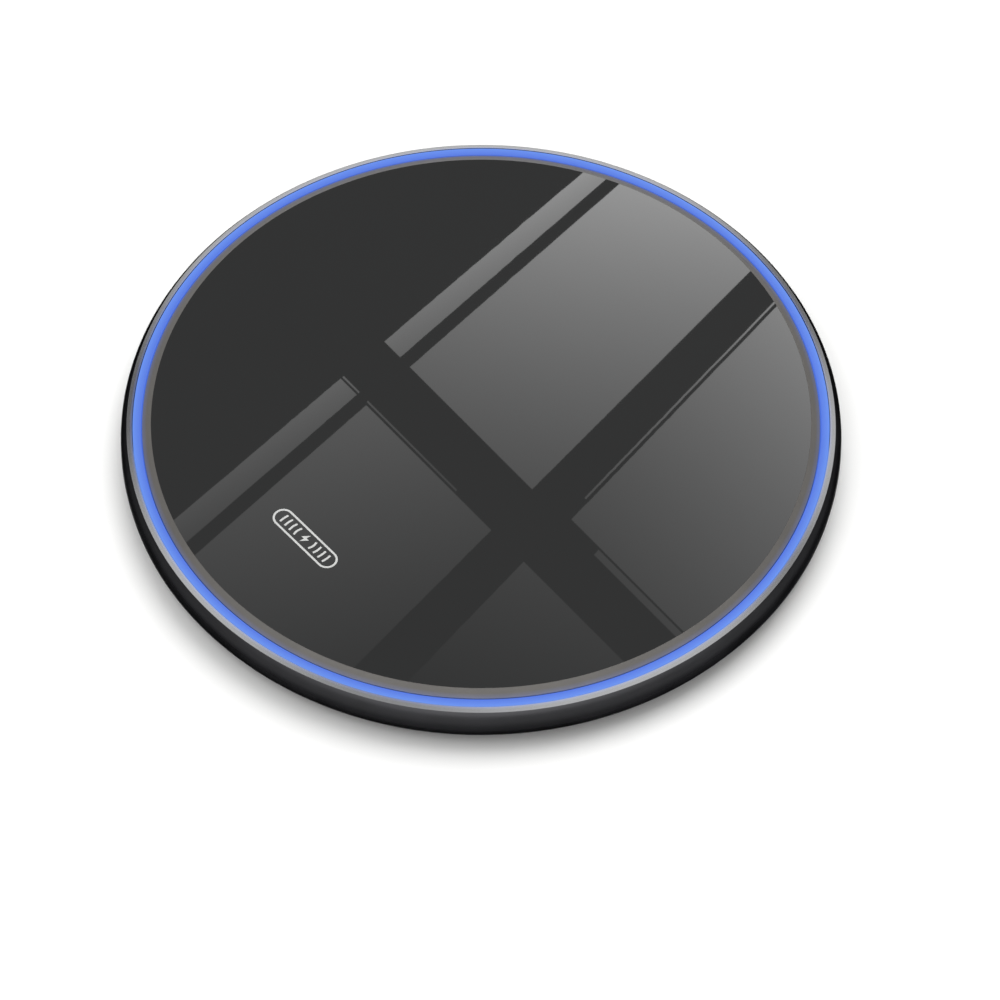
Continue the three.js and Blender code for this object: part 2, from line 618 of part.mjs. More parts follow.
for (const [name, { angle, size }] of Object.entries(CHIPS)) {
  const material = name.includes('capacitor') ? MATERIALS.ceramic : MATERIALS.darkResin;
  addAround(name, box(size), material, CHIP_CIRCLE, angle, BOARD_TOP_Z);
}

/** A row of equal parts on the board, from an angle on round the pad. */
function addRow(name, count, size, material, startAngle, step) {
  for (let i = 0; i < count; i++) {
    addAround(`${name}_${i + 1}`, box(size), material, CHIP_CIRCLE, startAngle + i * step, BOARD_TOP_Z);
  }
}

const { ceramic, darkResin } = MATERIALS;
addRow('resonant_capacitor', RESONANT_COUNT, RESONANT_SIZE, ceramic, RESONANT_ANGLE, RESONANT_STEP);
addRow('chip_resistor', PASSIVE_COUNT, PASSIVE_SIZE, darkResin, RESISTOR_ANGLE, PASSIVE_STEP);
addRow('chip_capacitor', PASSIVE_COUNT, PASSIVE_SIZE, ceramic, CAPACITOR_ANGLE, PASSIVE_STEP);
LED_ANGLES.forEach((angle, i) => {
  addAround(`led_${i + 1}`, box(LED_SIZE), MATERIALS.led, LED_CIRCLE, angle, BOARD_TOP_Z);
});

export default pad;
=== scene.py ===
"""A round wireless charging pad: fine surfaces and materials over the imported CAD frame.

Everything is in metres, in the frame of the CAD: the pad stands on z = 0 about the Z axis, its inlet
faces +Y and its user sits on the -Y side. A shell is a surface before it is a piece: its points, its
faces, and each face's band, which is its place in the piece's list of materials. Pieces that the CAD
frame already holds take their sizes and places from its boxes.
"""

import json
import math

import bpy
import numpy as np
from mathutils import Matrix, Vector


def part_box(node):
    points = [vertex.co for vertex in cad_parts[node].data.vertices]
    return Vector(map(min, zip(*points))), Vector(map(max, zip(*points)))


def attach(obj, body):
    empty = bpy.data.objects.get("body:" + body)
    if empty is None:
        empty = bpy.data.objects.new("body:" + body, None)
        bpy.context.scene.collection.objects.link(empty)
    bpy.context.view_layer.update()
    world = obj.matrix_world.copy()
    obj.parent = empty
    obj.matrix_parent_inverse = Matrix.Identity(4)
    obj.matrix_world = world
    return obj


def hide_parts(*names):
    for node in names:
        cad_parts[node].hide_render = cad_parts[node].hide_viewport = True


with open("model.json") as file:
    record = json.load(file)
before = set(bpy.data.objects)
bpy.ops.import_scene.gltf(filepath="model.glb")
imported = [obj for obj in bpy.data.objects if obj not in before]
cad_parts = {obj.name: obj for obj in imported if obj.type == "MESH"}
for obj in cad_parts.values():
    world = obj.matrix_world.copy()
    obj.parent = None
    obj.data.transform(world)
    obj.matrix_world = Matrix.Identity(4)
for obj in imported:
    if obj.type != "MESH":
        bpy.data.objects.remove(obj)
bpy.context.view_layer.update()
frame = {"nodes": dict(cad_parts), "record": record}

MM = 0.001

# ---------------------------------------------------------------------------------------------
# Sizes
# ---------------------------------------------------------------------------------------------

# Casing shapes that the boxes of the CAD nodes don't give
EDGE_RADIUS = 3 * MM
SHOULDER_RADIUS = 2.9 * MM
RIM_SETBACK = 0.85 * MM
CHAMFER_WIDTH = 0.76 * MM
CHAMFER_DROP = 0.28 * MM
BEVEL_WIDTH = 1.25 * MM
BEVEL_DROP = 0.7 * MM
GLASS_CLEARANCE = 0.12 * MM
BOARD_CLEARANCE = 0.6 * MM
OPENING_CLEARANCE = 0.1 * MM  # round the base cover
COVER_THICKNESS = 0.7 * MM
RIB_CLEARANCE = 1.2 * MM  # from the coil out to the cover's rib
RIB_WALL = 1 * MM
COVER_BOSS_RADIUS = 2.2 * MM
BASE_THICKNESS = 1.2 * MM
BASE_BOSS_RADIUS = 3.4 * MM
RING_CLEARANCE = 0.1 * MM  # between the anti-slip ring and its groove
HEAD_CLEARANCE = 0.25 * MM  # round a screw's head
VENT_COUNT = 16
VENT_LENGTH = 5 * MM
VENT_WIDTH = 1.1 * MM
VENT_MARGIN = 2.2 * MM  # from the anti-slip ring in to the slots

# Printed mark
MARK_LENGTH = 12.3 * MM
MARK_WIDTH = 3 * MM
MARK_OUT = 31.7 * MM  # from the pad's middle
MARK_STROKE = 0.3 * MM
MARK_ARC_HALF = 0.75 * MM  # half the height of an arc
MARK_ARC_RADII = (1.7 * MM, 2.65 * MM, 3.6 * MM, 4.55 * MM)

# Inlet
PORT_CLEARANCE = 0.15 * MM
SHELL_WALL = 0.3 * MM
SHELL_REAR_WALL = 0.9 * MM
TONGUE_WIDTH = 6.69 * MM
TONGUE_THICKNESS = 0.7 * MM
TONGUE_LENGTH = 4.45 * MM
CONTACT_PITCH = 0.5 * MM
CONTACT_COUNT = 12
CONTACT_WIDTH = 0.26 * MM
CONTACT_LENGTH = 3 * MM
LONG_CONTACT_LENGTH = 3.5 * MM
LONG_CONTACTS = (0, 3, 8, 11)  # ground and supply, which meet first
SHELL_BEND = 0.35 * MM  # of the shell's closed rear

# Screws
SHANK_RADIUS = 0.95 * MM
HEAD_HEIGHT = 0.55 * MM
THREAD_ROOT_RADIUS = 0.72 * MM
THREAD_PITCH = 0.8 * MM
THREAD_FLANK = 0.3  # of the pitch, from a thread's peak to its foot
THREAD_START = 0.3 * MM  # from the head
THREAD_RISE = 0.4 * MM
THREAD_RUNOUT = 0.8 * MM  # back from the tip
TIP_LENGTH = 0.7 * MM
TIP_BLUNTNESS = 0.25  # the tip's radius against the root's
CROSS_CONE_RADIUS = 0.55 * MM
CROSS_LENGTH = 2 * MM
CROSS_WIDTH = 0.5 * MM
CROSS_DEPTH = 0.35 * MM

# Coil and board
COIL_TURNS = 11
COIL_INNER_RADIUS = 10.25 * MM
LEAD_RADIUS = 0.5 * MM
FLAT_LEAD_WIDTH = 1.6 * MM
FLAT_LEAD_THICKNESS = 0.6 * MM
SLOT_CLEARANCE = 0.3 * MM  # round the flat lead in the ferrite
FERRITE_HOLE_RADIUS = 1.5 * MM
HOLE_CLEARANCE = 0.35 * MM  # round a screw, in the board
BEAD_PITCH = 1.1 * MM
PIN_RADIUS = 0.2 * MM
WIRE_FILL = 0.97  # a wire's width against the coil's pitch

# Tracks. Angles are in degrees round the board.
LIGHT_TRACKS = (1.4 * MM, 2 * MM)  # from the lights in to the two tracks that feed them
LIGHT_TRACK_WIDTH = 0.35 * MM
LIGHT_TRACK_SPAN = (98, 442)
COIL_TRACK_WIDTH = 1.6 * MM
COIL_TRACK_SPANS = ((-6, 5), (12, 84), (96, 206), (236, 348))
SIGNAL_TRACK_COUNT = 6
SIGNAL_TRACK_WIDTH = 0.2 * MM
SIGNAL_TRACK_PITCH = 0.45 * MM
SIGNAL_TRACK_OUT = 3.1 * MM  # from the ferrite's edge to the first one

# Chips
LEG_THICKNESS = 0.15 * MM
LEG_BEND = 0.12 * MM
CHIP_LIFT = 0.1 * MM  # from the board up to a body on legs
DRAFT = 0.06 * MM  # how far a moulded body narrows to its faces
BODY_CORNER, BODY_EDGE = 0.12 * MM, 0.06 * MM
PAD_PITCH = 0.65 * MM
PADS_PER_SIDE = 8
DOT_RADIUS = 0.28 * MM
DOT_INSET = 0.55 * MM  # from the body's sides
# node: legs on each side, their pitch and width, how far the body's side lies inside the CAD node's, and
# how far the legs end outside it
LEGGED_CHIPS = {
    "bridge_chip_1": (4, 1.27 * MM, 0.42 * MM, 1.05 * MM, 0),
    "bridge_chip_2": (4, 1.27 * MM, 0.42 * MM, 1.05 * MM, 0),
    "regulator_chip": (3, 0.95 * MM, 0.4 * MM, 0, 0.6 * MM),
}

SEGMENTS = 360  # round the pad
ARC_STEPS = 5  # on each arc of the frame's outline, as many as the CAD's
FILLET = 0.06 * MM  # broken edge of a machined or moulded corner, unless an outline gives another
FILM = 0.01 * MM  # thickness of printed ink
FOIL = 0.03 * MM  # thickness of a copper track or a solder pad

# Camera
AZIMUTH = math.radians(49.6)
ELEVATION = math.radians(53.6)
CAMERA_DISTANCE = 1.4
FIELD_WIDTH = 138.6 * MM  # what the view's width covers at the pad
AIM_RIGHT = 2.62 * MM
AIM_DOWN = 10.85 * MM

# ---------------------------------------------------------------------------------------------
# Shells
# ---------------------------------------------------------------------------------------------


def high(node):
    """The upper corner of a CAD node's box."""
    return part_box(node)[1]


def low(node):
    """The lower corner of a CAD node's box."""
    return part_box(node)[0]


def shell(points, faces, bands=0):
    """Points and faces as a shell, with one band for all the faces or a band for each."""
    faces = [tuple(face) for face in faces]
    bands = [bands] * len(faces) if isinstance(bands, int) else list(bands)
    return np.asarray(points, dtype=float), faces, bands


def joined(shells):
    """One shell of several."""
    points, faces, bands, start = [], [], [], 0
    for some_points, some_faces, some_bands in shells:
        points.append(some_points)
        faces += [tuple(i + start for i in face) for face in some_faces]
        bands += some_bands
        start += len(some_points)
    return np.vstack(points), faces, bands


def moved(some, x=0.0, y=0.0, z=0.0, degrees=0.0):
    """A shell shifted, and then turned about the Z axis."""
    angle = math.radians(degrees)
    points = some[0] + np.array([x, y, z])
    across, along = points[:, 0], points[:, 1]
    turned_x = across * math.cos(angle) - along * math.sin(angle)
    turned_y = across * math.sin(angle) + along * math.cos(angle)
    return np.column_stack([turned_x, turned_y, points[:, 2]]), some[1], some[2]


def banded(some, band):
    """A shell with all its faces in one band."""
    return some[0], some[1], [band] * len(some[1])


def laid(some, start, z):
    """A shell that was raised along z, laid down along y from start on, about a height."""
    x, y, up = some[0].T
    return np.column_stack([-x, start + up, z + y]), some[1], some[2]


def grid_faces(rows, columns, closed_rows=False):
    """Quads over a grid of points. Each row closes on itself, and so may the rows."""
    index = np.arange(rows * columns).reshape(rows, columns)
    index = np.hstack([index, index[:, :1]])
    if closed_rows:
        index = np.vstack([index, index[:1]])
    return np.stack([index[:-1, :-1], index[:-1, 1:], index[1:, 1:], index[1:, :-1]], axis=-1).reshape(-1, 4)


def soften(corners, closed=True, steps=3):
    """Rounds the corners of an outline and returns its points and each span's band.

    A corner is (r, z), or (r, z, fillet radius, band of the span after it). Each corner becomes an arc
    that touches both of its sides, cut down where a side is short. A point just outside each end of the
    arc keeps the flats beside it flat to the eye.
    """
    full = [tuple(c) + (FILLET, 0)[len(c) - 2 :] for c in corners]
    count = len(full)
    points, bands = [], []
    for i, (r, z, fillet, band) in enumerate(full):
        here = np.array([r, z])
        if not closed and i in (0, count - 1):
            points.append(here)
            bands.append(band)
            continue
        before = np.array(full[i - 1][:2]) - here
        after = np.array(full[(i + 1) % count][:2]) - here
        reach_before, reach_after = np.linalg.norm(before), np.linalg.norm(after)
        before, after = before / reach_before, after / reach_after
        turn = math.pi - math.acos(np.clip(before @ after, -1, 1))
        reach = min(fillet * math.tan(turn / 2), 0.3 * reach_before, 0.3 * reach_after)
        if turn < 0.02 or reach < 1e-7:
            points.append(here)
            bands.append(band)
            continue
        radius = reach / math.tan(turn / 2)
        middle = (before + after) / np.linalg.norm(before + after)
        centre = here + middle * radius / math.cos(turn / 2)
        start, end = here + before * reach - centre, here + after * reach - centre
        points.append(here + before * reach * 1.5)
        bands.append(full[i - 1][3])
        for t in np.linspace(0, 1, steps + 1):
            way = start * math.sin((1 - t) * turn) + end * math.sin(t * turn)
            points.append(centre + way / math.sin(turn))
            bands.append(band)
        points.append(here + after * reach * 1.5)
        bands.append(band)
    return np.array(points), np.array(bands)


def arc(r, z, radius, start, end):
    """Corners on an arc of the outline plane, from one angle in degrees to another."""
    angles = np.radians(np.linspace(start, end, ARC_STEPS + 1))
    return [(r + radius * math.cos(a), z + radius * math.sin(a), 0.0) for a in angles]


def turned(corners, closed=True, segments=SEGMENTS):
    """Surface of revolution: the outline's point (r, z) goes to (r cos t, r sin t, z) for t round the axis.

    The outline runs anticlockwise with r to the right, either closed on itself or from axis to axis,
    where it ends in a fan of triangles.
    """
    outline, bands = soften(corners, closed)
    rings = outline if closed else outline[1:-1]
    t = np.linspace(0, 2 * np.pi, segments, endpoint=False)
    r, z = rings[:, :1], rings[:, 1:]
    grid = np.stack([r * np.cos(t), r * np.sin(t), np.broadcast_to(z, (len(rings), segments))], axis=-1)
    points = grid.reshape(-1, 3)
    faces = grid_faces(len(rings), segments, closed_rows=closed).tolist()
    spans = bands if closed else bands[1:-2]
    face_bands = np.repeat(spans, segments).tolist()
    if not closed:
        bottom, top = len(points), len(points) + 1
        points = np.vstack([points, [0, 0, outline[0, 1]], [0, 0, outline[-1, 1]]])
        first = np.arange(segments)
        last = first + (len(rings) - 1) * segments
        faces += [(bottom, b, a) for a, b in zip(first.tolist(), np.roll(first, -1).tolist())]
        faces += [(top, a, b) for a, b in zip(last.tolist(), np.roll(last, -1).tolist())]
        face_bands += [int(bands[0])] * segments + [int(bands[-2])] * segments
    return shell(points, faces, face_bands)


def cylinder(radius, bottom, top, segments=48, band=0):
    """A closed cylinder about the Z axis, with sharp edges."""
    corners = [(0, bottom), (radius, bottom, 0.0, band), (radius, top, 0.0, band), (0, top)]
    return banded(turned(corners, closed=False, segments=segments), band)


def stacked(rings, band=0):
    """Closed outlines of equally many points, one above the other, capped at both ends."""
    rows, columns = len(rings), len(rings[0])
    faces = grid_faces(rows, columns).tolist()
    faces += [range(columns - 1, -1, -1), range((rows - 1) * columns, rows * columns)]
    return shell(np.concatenate(rings), faces, band)


def raised(outline, bottom, top):
    """A closed outline of (x, y) points, anticlockwise, raised from one height to another."""
    outline = np.asarray(outline)
    return stacked([np.column_stack([outline, np.full(len(outline), z)]) for z in (bottom, top)])


def rectangle(x0, x1, y0, y1):
    """The corners of a rectangle, anticlockwise."""
    return [(x0, y0), (x1, y0), (x1, y1), (x0, y1)]


def stadium(length, width, steps):
    """Outline of a slot with its long side along x. Each end is a half circle of half the width."""
    half = (length - width) / 2
    angles = np.linspace(-np.pi / 2, np.pi / 2, steps + 1)
    end = np.column_stack([half + width / 2 * np.cos(angles), width / 2 * np.sin(angles)])
    return np.vstack([end, -end])


def stadium_bar(length, width, rows, steps=24, hollow=False):
    """Slot outlines stacked up z. Each row is a height and how far the outline is drawn in there. The ends
    are capped, or in a hollow one the last row joins the first."""
    rings = []
    for z, inset in rows:
        outline = stadium(length - 2 * inset, width - 2 * inset, steps)
        rings.append(np.column_stack([outline, np.full(len(outline), z)]))
    if hollow:
        return shell(np.concatenate(rings), grid_faces(len(rings), len(rings[0]), closed_rows=True))
    return stacked(rings)


def block(size, corner, edge, draft=0.0, band=0, steps=3):
    """A box standing on z = 0 with round corners and edges.

    Its outline is a rectangle with a quarter circle at each corner. Each ring up the side is that outline
    drawn in: by edge * (1 - sin t) at a height of edge * (1 - cos t), over a quarter turn t at the foot and
    again at the top, and by the draft at both, which the middle height doesn't have.
    """
    t = np.linspace(0, np.pi / 2, steps + 1)
    inward, upward = edge * (1 - np.sin(t)) + draft, edge * (1 - np.cos(t))
    heights = np.concatenate([upward, [size[2] / 2], size[2] - upward[::-1]])
    insets = np.concatenate([inward, [0], inward[::-1]])
    angles = np.concatenate([np.linspace(k, k + 1, steps + 1) * np.pi / 2 for k in range(4)])
    way_x = np.repeat([1, -1, -1, 1], steps + 1)
    way_y = np.repeat([1, 1, -1, -1], steps + 1)
    rings = []
    for z, inset in zip(heights, insets):
        radius = max(corner - inset, 0.2 * corner)
        x = way_x * (size[0] / 2 - inset - radius) + radius * np.cos(angles)
        y = way_y * (size[1] / 2 - inset - radius) + radius * np.sin(angles)
        rings.append(np.column_stack([x, y, np.full(len(x), z)]))
    return stacked(rings, band)


def oval(width, height, steps, power=1.0):
    """A closed oval: x is half the width by cos t and y half the height by sin t, each of them raised to
    the power with its sign kept. Power 1 is an ellipse, and a lower power fills out its corners."""
    t = np.linspace(0, 2 * np.pi, steps, endpoint=False)
    c, s = np.cos(t), np.sin(t)
    x = width / 2 * np.sign(c) * np.abs(c) ** power
    return np.column_stack([x, height / 2 * np.sign(s) * np.abs(s) ** power])


def swept(path, section, upward=(0, 0, 1), band=0):
    """A closed section carried along an open path, with a cap at each end.

    At each step the section's second axis is the upward direction made square to the path, and its first
    axis is square to both. The section runs anticlockwise.
    """
    path, section = np.asarray(path, dtype=float), np.asarray(section, dtype=float)
    along = np.gradient(path, axis=0)
    along /= np.linalg.norm(along, axis=1, keepdims=True)
    side = np.cross(np.broadcast_to(upward, along.shape), along)
    side /= np.linalg.norm(side, axis=1, keepdims=True)
    rise = np.cross(along, side)
    grid = path[:, None] + section[None, :, :1] * side[:, None] + section[None, :, 1:] * rise[:, None]
    return stacked(list(grid), band)


def bent_strip(corners, width, thickness, band):
    """A flat strip bent along corners (x, z, bend radius), with its width along y."""
    line, _ = soften([(*corner, 0) if len(corner) == 3 else corner for corner in corners], closed=False)
    path = np.column_stack([line[:, 0], np.zeros(len(line)), line[:, 1]])
    section = rectangle(-thickness / 2, thickness / 2, -width / 2, width / 2)
    return swept(path, section, (0, 1, 0), band)


# ---------------------------------------------------------------------------------------------
# Pieces
# ---------------------------------------------------------------------------------------------


def make_piece(name, some, *finishes, sharp=35):
    """Links a shell as a mesh object, with the material of each band. Edges sharper than sharp stay sharp."""
    points, faces, bands = some
    mesh = bpy.data.meshes.new(name)
    mesh.from_pydata(points.tolist(), [], faces)
    mesh.polygons.foreach_set("use_smooth", np.ones(len(mesh.polygons), dtype=bool))
    mesh.polygons.foreach_set("material_index", np.asarray(bands, dtype=np.int32))
    mesh.set_sharp_from_angle(angle=math.radians(sharp))
    for finish in finishes:
        mesh.materials.append(materials[finish])
    piece = bpy.data.objects.new(name, mesh)
    bpy.context.scene.collection.objects.link(piece)
    return piece


def carve(piece, cut=(), join=(), sharp=35):
    """Joins closed shells to a closed piece and then cuts others out of it."""
    tools = [("UNION", some) for some in join] + [("DIFFERENCE", some) for some in cut]
    made = []
    for operation, some in tools:
        tool = make_piece("tool", some)
        made.append(tool)
        modifier = piece.modifiers.new("tool", "BOOLEAN")
        modifier.operation = operation
        modifier.solver = "EXACT"
        modifier.object = tool
    bpy.context.view_layer.update()
    shown = piece.evaluated_get(bpy.context.evaluated_depsgraph_get())
    mesh = bpy.data.meshes.new_from_object(shown)
    piece.modifiers.clear()
    piece.data = mesh
    mesh.set_sharp_from_angle(angle=math.radians(sharp))
    for tool in made:
        bpy.data.objects.remove(tool)
    return piece


def finish_piece(piece, slot, *nodes):
    """Hangs a piece under the root and hides the CAD nodes that it stands for. The slot is not used."""
    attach(piece, "root")
    if nodes:
        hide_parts(*nodes)


def seat(node):
    """Where a part sits: its radius and angle round the pad, its foot, and its own size.

    The angle is that of the middle of its box. Its points, turned back by that angle, give the rest.
    """
    middle_x, middle_y, _ = (low(node) + high(node)) / 2
    angle = math.atan2(middle_y, middle_x)
    mesh = frame["nodes"][node].data
    points = np.empty(len(mesh.vertices) * 3)
    mesh.vertices.foreach_get("co", points)
    x, y, z = points.reshape(-1, 3).T
    out = x * math.cos(angle) + y * math.sin(angle)
    sideways = y * math.cos(angle) - x * math.sin(angle)
    size = tuple(float(np.ptp(values)) for values in (out, sideways, z))
    return float(out.min() + out.max()) / 2, math.degrees(angle), float(z.min()), size


def at_seat(some, node):
    """A shell made about the axis, moved to where a CAD node sits."""
    radius, degrees, foot, _ = seat(node)
    return moved(some, x=radius, z=foot, degrees=degrees)


# Sizes that more than one piece or material is worked out from
pad_radius = high("rim_frame").x
guide_top = high("light_guide").z
guide_outer = high("light_guide").x
glass_radius = high("glass_panel").x
guide_inner = glass_radius + GLASS_CLEARANCE
skirt_inner = high("circuit_board").x + BOARD_CLEARANCE
bore = pad_radius - RIM_SETBACK - CHAMFER_WIDTH
base_foot = low("base_cover").z
base_top = base_foot + BASE_THICKNESS
board_foot, board_top = low("circuit_board").z, high("circuit_board").z
cover_top = high("inner_cover").z
cover_foot = cover_top - COVER_THICKNESS
ring_outer = high("antislip_ring").x
coil_foot, coil_top = low("charging_coil").z, high("charging_coil").z
coil_radius = high("charging_coil").x
ferrite_radius = high("ferrite_sheet").x
shell_low, shell_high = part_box("usb_shell")
port_z = (shell_low.z + shell_high.z) / 2
port_size = shell_high - shell_low
lead_out, lead_degrees, _, lead_size = seat("coil_lead_inner")
screw_circle, _, screw_foot, screw_size = seat("screw_1")
ring_inner = 2 * screw_circle - ring_outer  # the screws sit under the middle of the ring
SCREW_ANGLES = [seat(f"screw_{i}")[1] for i in range(1, 5)]

# ---------------------------------------------------------------------------------------------
# Materials
# ---------------------------------------------------------------------------------------------


def linear(hex_colour):
    """An sRGB colour such as "2a2b2c" as linear RGBA, opaque."""
    parts = np.array([int(hex_colour[i : i + 2], 16) for i in (0, 2, 4)]) / 255
    low_part, high_part = parts / 12.92, ((parts + 0.055) / 1.055) ** 2.4
    return (*np.where(parts <= 0.04045, low_part, high_part).tolist(), 1.0)


def add_node(material, kind, inputs=None, output=0, **settings):
    """Adds a node with its settings, and returns one of its outputs. Each input is a value, or the output
    of another node."""
    made = material.node_tree.nodes.new(kind)
    for key, value in settings.items():
        setattr(made, key, value)
    for key, value in (inputs or {}).items():
        if isinstance(value, bpy.types.NodeSocket):
            material.node_tree.links.new(value, made.inputs[key])
        else:
            made.inputs[key].default_value = value
    return made.outputs[output]


def shade(material, **inputs):
    """Sets inputs of the material's shader, each to a value or to the output of a node."""
    shader = material.node_tree.nodes["Principled BSDF"]
    for key, value in inputs.items():
        socket = shader.inputs[key.replace("_", " ")]
        if isinstance(value, bpy.types.NodeSocket):
            material.node_tree.links.new(value, socket)
        else:
            socket.default_value = value


def new_material(name, **inputs):
    """A material with some of its shader's inputs set."""
    material = bpy.data.materials.new(name)
    material.use_nodes = True
    shade(material, **inputs)
    return material


def mottled(name, dark, light, roughness, patch=6.0, grain=0.0, depth=0.0, **inputs):
    """A material whose colour drifts in patches between two tones, and its roughness by a tenth either way,
    so that a flat part isn't one flat tone. Grain is a finer noise in relief. Sizes are in mm."""
    material = new_material(name, **inputs)
    where = add_node(material, "ShaderNodeTexCoord", output="Object")
    wide = add_node(material, "ShaderNodeTexNoise", {"Vector": where, "Scale": 1 / (patch * MM), "Detail": 3})
    tones = {"Factor": wide, 6: linear(dark), 7: linear(light)}
    drift = {"Value": wide, "From Min": 0.3, "From Max": 0.7}
    drift.update({"To Min": 0.9 * roughness, "To Max": 1.1 * roughness})
    shade(material, Base_Color=add_node(material, "ShaderNodeMix", tones, 2, data_type="RGBA"),
          Roughness=add_node(material, "ShaderNodeMapRange", drift))
    if grain:
        fine = {"Vector": where, "Scale": 1 / (grain * MM), "Detail": 2}
        height = add_node(material, "ShaderNodeTexNoise", fine)
        relief = {"Height": height, "Distance": depth * MM, "Strength": 1}
        shade(material, Normal=add_node(material, "ShaderNodeBump", relief))
    return material


def across_ring(material, inner, outer, at_inner=0.0, at_outer=1.0):
    """A value that runs evenly from one radius about the Z axis to another, and is level beyond them."""
    where = add_node(material, "ShaderNodeTexCoord", output="Object")
    flat = add_node(material, "ShaderNodeVectorMath", {0: where, 1: (1, 1, 0)}, operation="MULTIPLY")
    out = add_node(material, "ShaderNodeVectorMath", {0: flat}, "Value", operation="LENGTH")
    span = {"Value": out, "From Min": inner, "From Max": outer, "To Min": at_inner, "To Max": at_outer}
    return add_node(material, "ShaderNodeMapRange", span)


def ground_glass():
    """The bevel is ground and not polished, so it is dull, and the black behind it shows grey. The guide's
    light that seeps in at its rim is painted on as a blue glow, which fades within half a millimetre."""
    material = mottled("ground_glass_bevel", "4e4c49", "575450", 0.42, grain=0.03, depth=0.002, IOR=1.5)
    # Painted glow: the guide's blue light on the bevel's rim, given as emission that fades inward
    painted_rim_glow = across_ring(material, glass_radius - 0.6 * MM, glass_radius, 0.0, 0.14)
    shade(material, Emission_Color=linear("4a7df0"), Emission_Strength=painted_rim_glow)
    return material


def lit_guide():
    """Clear acrylic, frosted on its face, with blue light inside. The light is deepest beside the glass and
    pales towards the frame."""
    material = mottled("frosted_acrylic_blue_light", "203060", "283a6c", 0.4, 15, 0.04, 0.003,
                       IOR=1.49, Specular_IOR_Level=0.3)
    out = across_ring(material, guide_inner, guide_outer)
    tones = {"Factor": out, 6: linear("476cd6"), 7: linear("648fe8")}
    glow = add_node(material, "ShaderNodeMix", tones, 2, data_type="RGBA")
    shade(material, Emission_Color=glow, Emission_Strength=0.84)
    return material


def cut_aluminium():
    """The chamfer is cut by a diamond tool after anodising. The tool leaves fine rings, 0.15 mm apart so
    that they show, which spread the bright metal's highlights across the cut. A painted blue glow on its
    inner edge stands for the guide's light."""
    material = mottled("diamond_cut_aluminium", "d2d3d5", "dcdde0", 0.23, 10, Metallic=1.0, Anisotropic=0.6)
    turns = across_ring(material, 0.0, pad_radius, 0.0, 2 * math.pi * pad_radius / (0.15 * MM))
    wave = add_node(material, "ShaderNodeMath", {0: turns}, operation="SINE")
    rings = {"Value": wave, "From Min": -1, "From Max": 1, "To Min": 0.2, "To Max": 0.26}
    tangent = add_node(material, "ShaderNodeTangent", direction_type="RADIAL", axis="Z")
    # Painted glow: the guide's blue light on the chamfer's inner edge, given as emission that fades outward
    painted_edge_glow = across_ring(material, bore, bore + 0.35 * MM, 0.22, 0.0)
    shade(material, Roughness=add_node(material, "ShaderNodeMapRange", rings), Tangent=tangent,
          Emission_Color=linear("4a7df0"), Emission_Strength=painted_edge_glow)
    return material


def enamelled_copper():
    """Stranded copper wire under clear enamel, with its strands in relief. Nine strands show round the wire
    and twist once in 9 mm: the wire's own map gives the turn round it and the metres along it."""
    material = mottled("enamelled_copper_wire", "a85a28", "c87f42", 0.3, 1.5,
                       Metallic=1.0, Coat_Weight=0.4, Coat_Roughness=0.15)
    wind = add_node(material, "ShaderNodeUVMap", uv_map="wind")
    twist = 2 * math.pi * 9 * np.array([1, 1 / (9 * MM), 0])
    phase = add_node(material, "ShaderNodeVectorMath", {0: wind, 1: twist}, "Value", operation="DOT_PRODUCT")
    strands = add_node(material, "ShaderNodeMath", {0: phase}, operation="SINE")
    relief = {"Height": strands, "Distance": 0.012 * MM, "Strength": 1}
    shade(material, Normal=add_node(material, "ShaderNodeBump", relief))
    return material


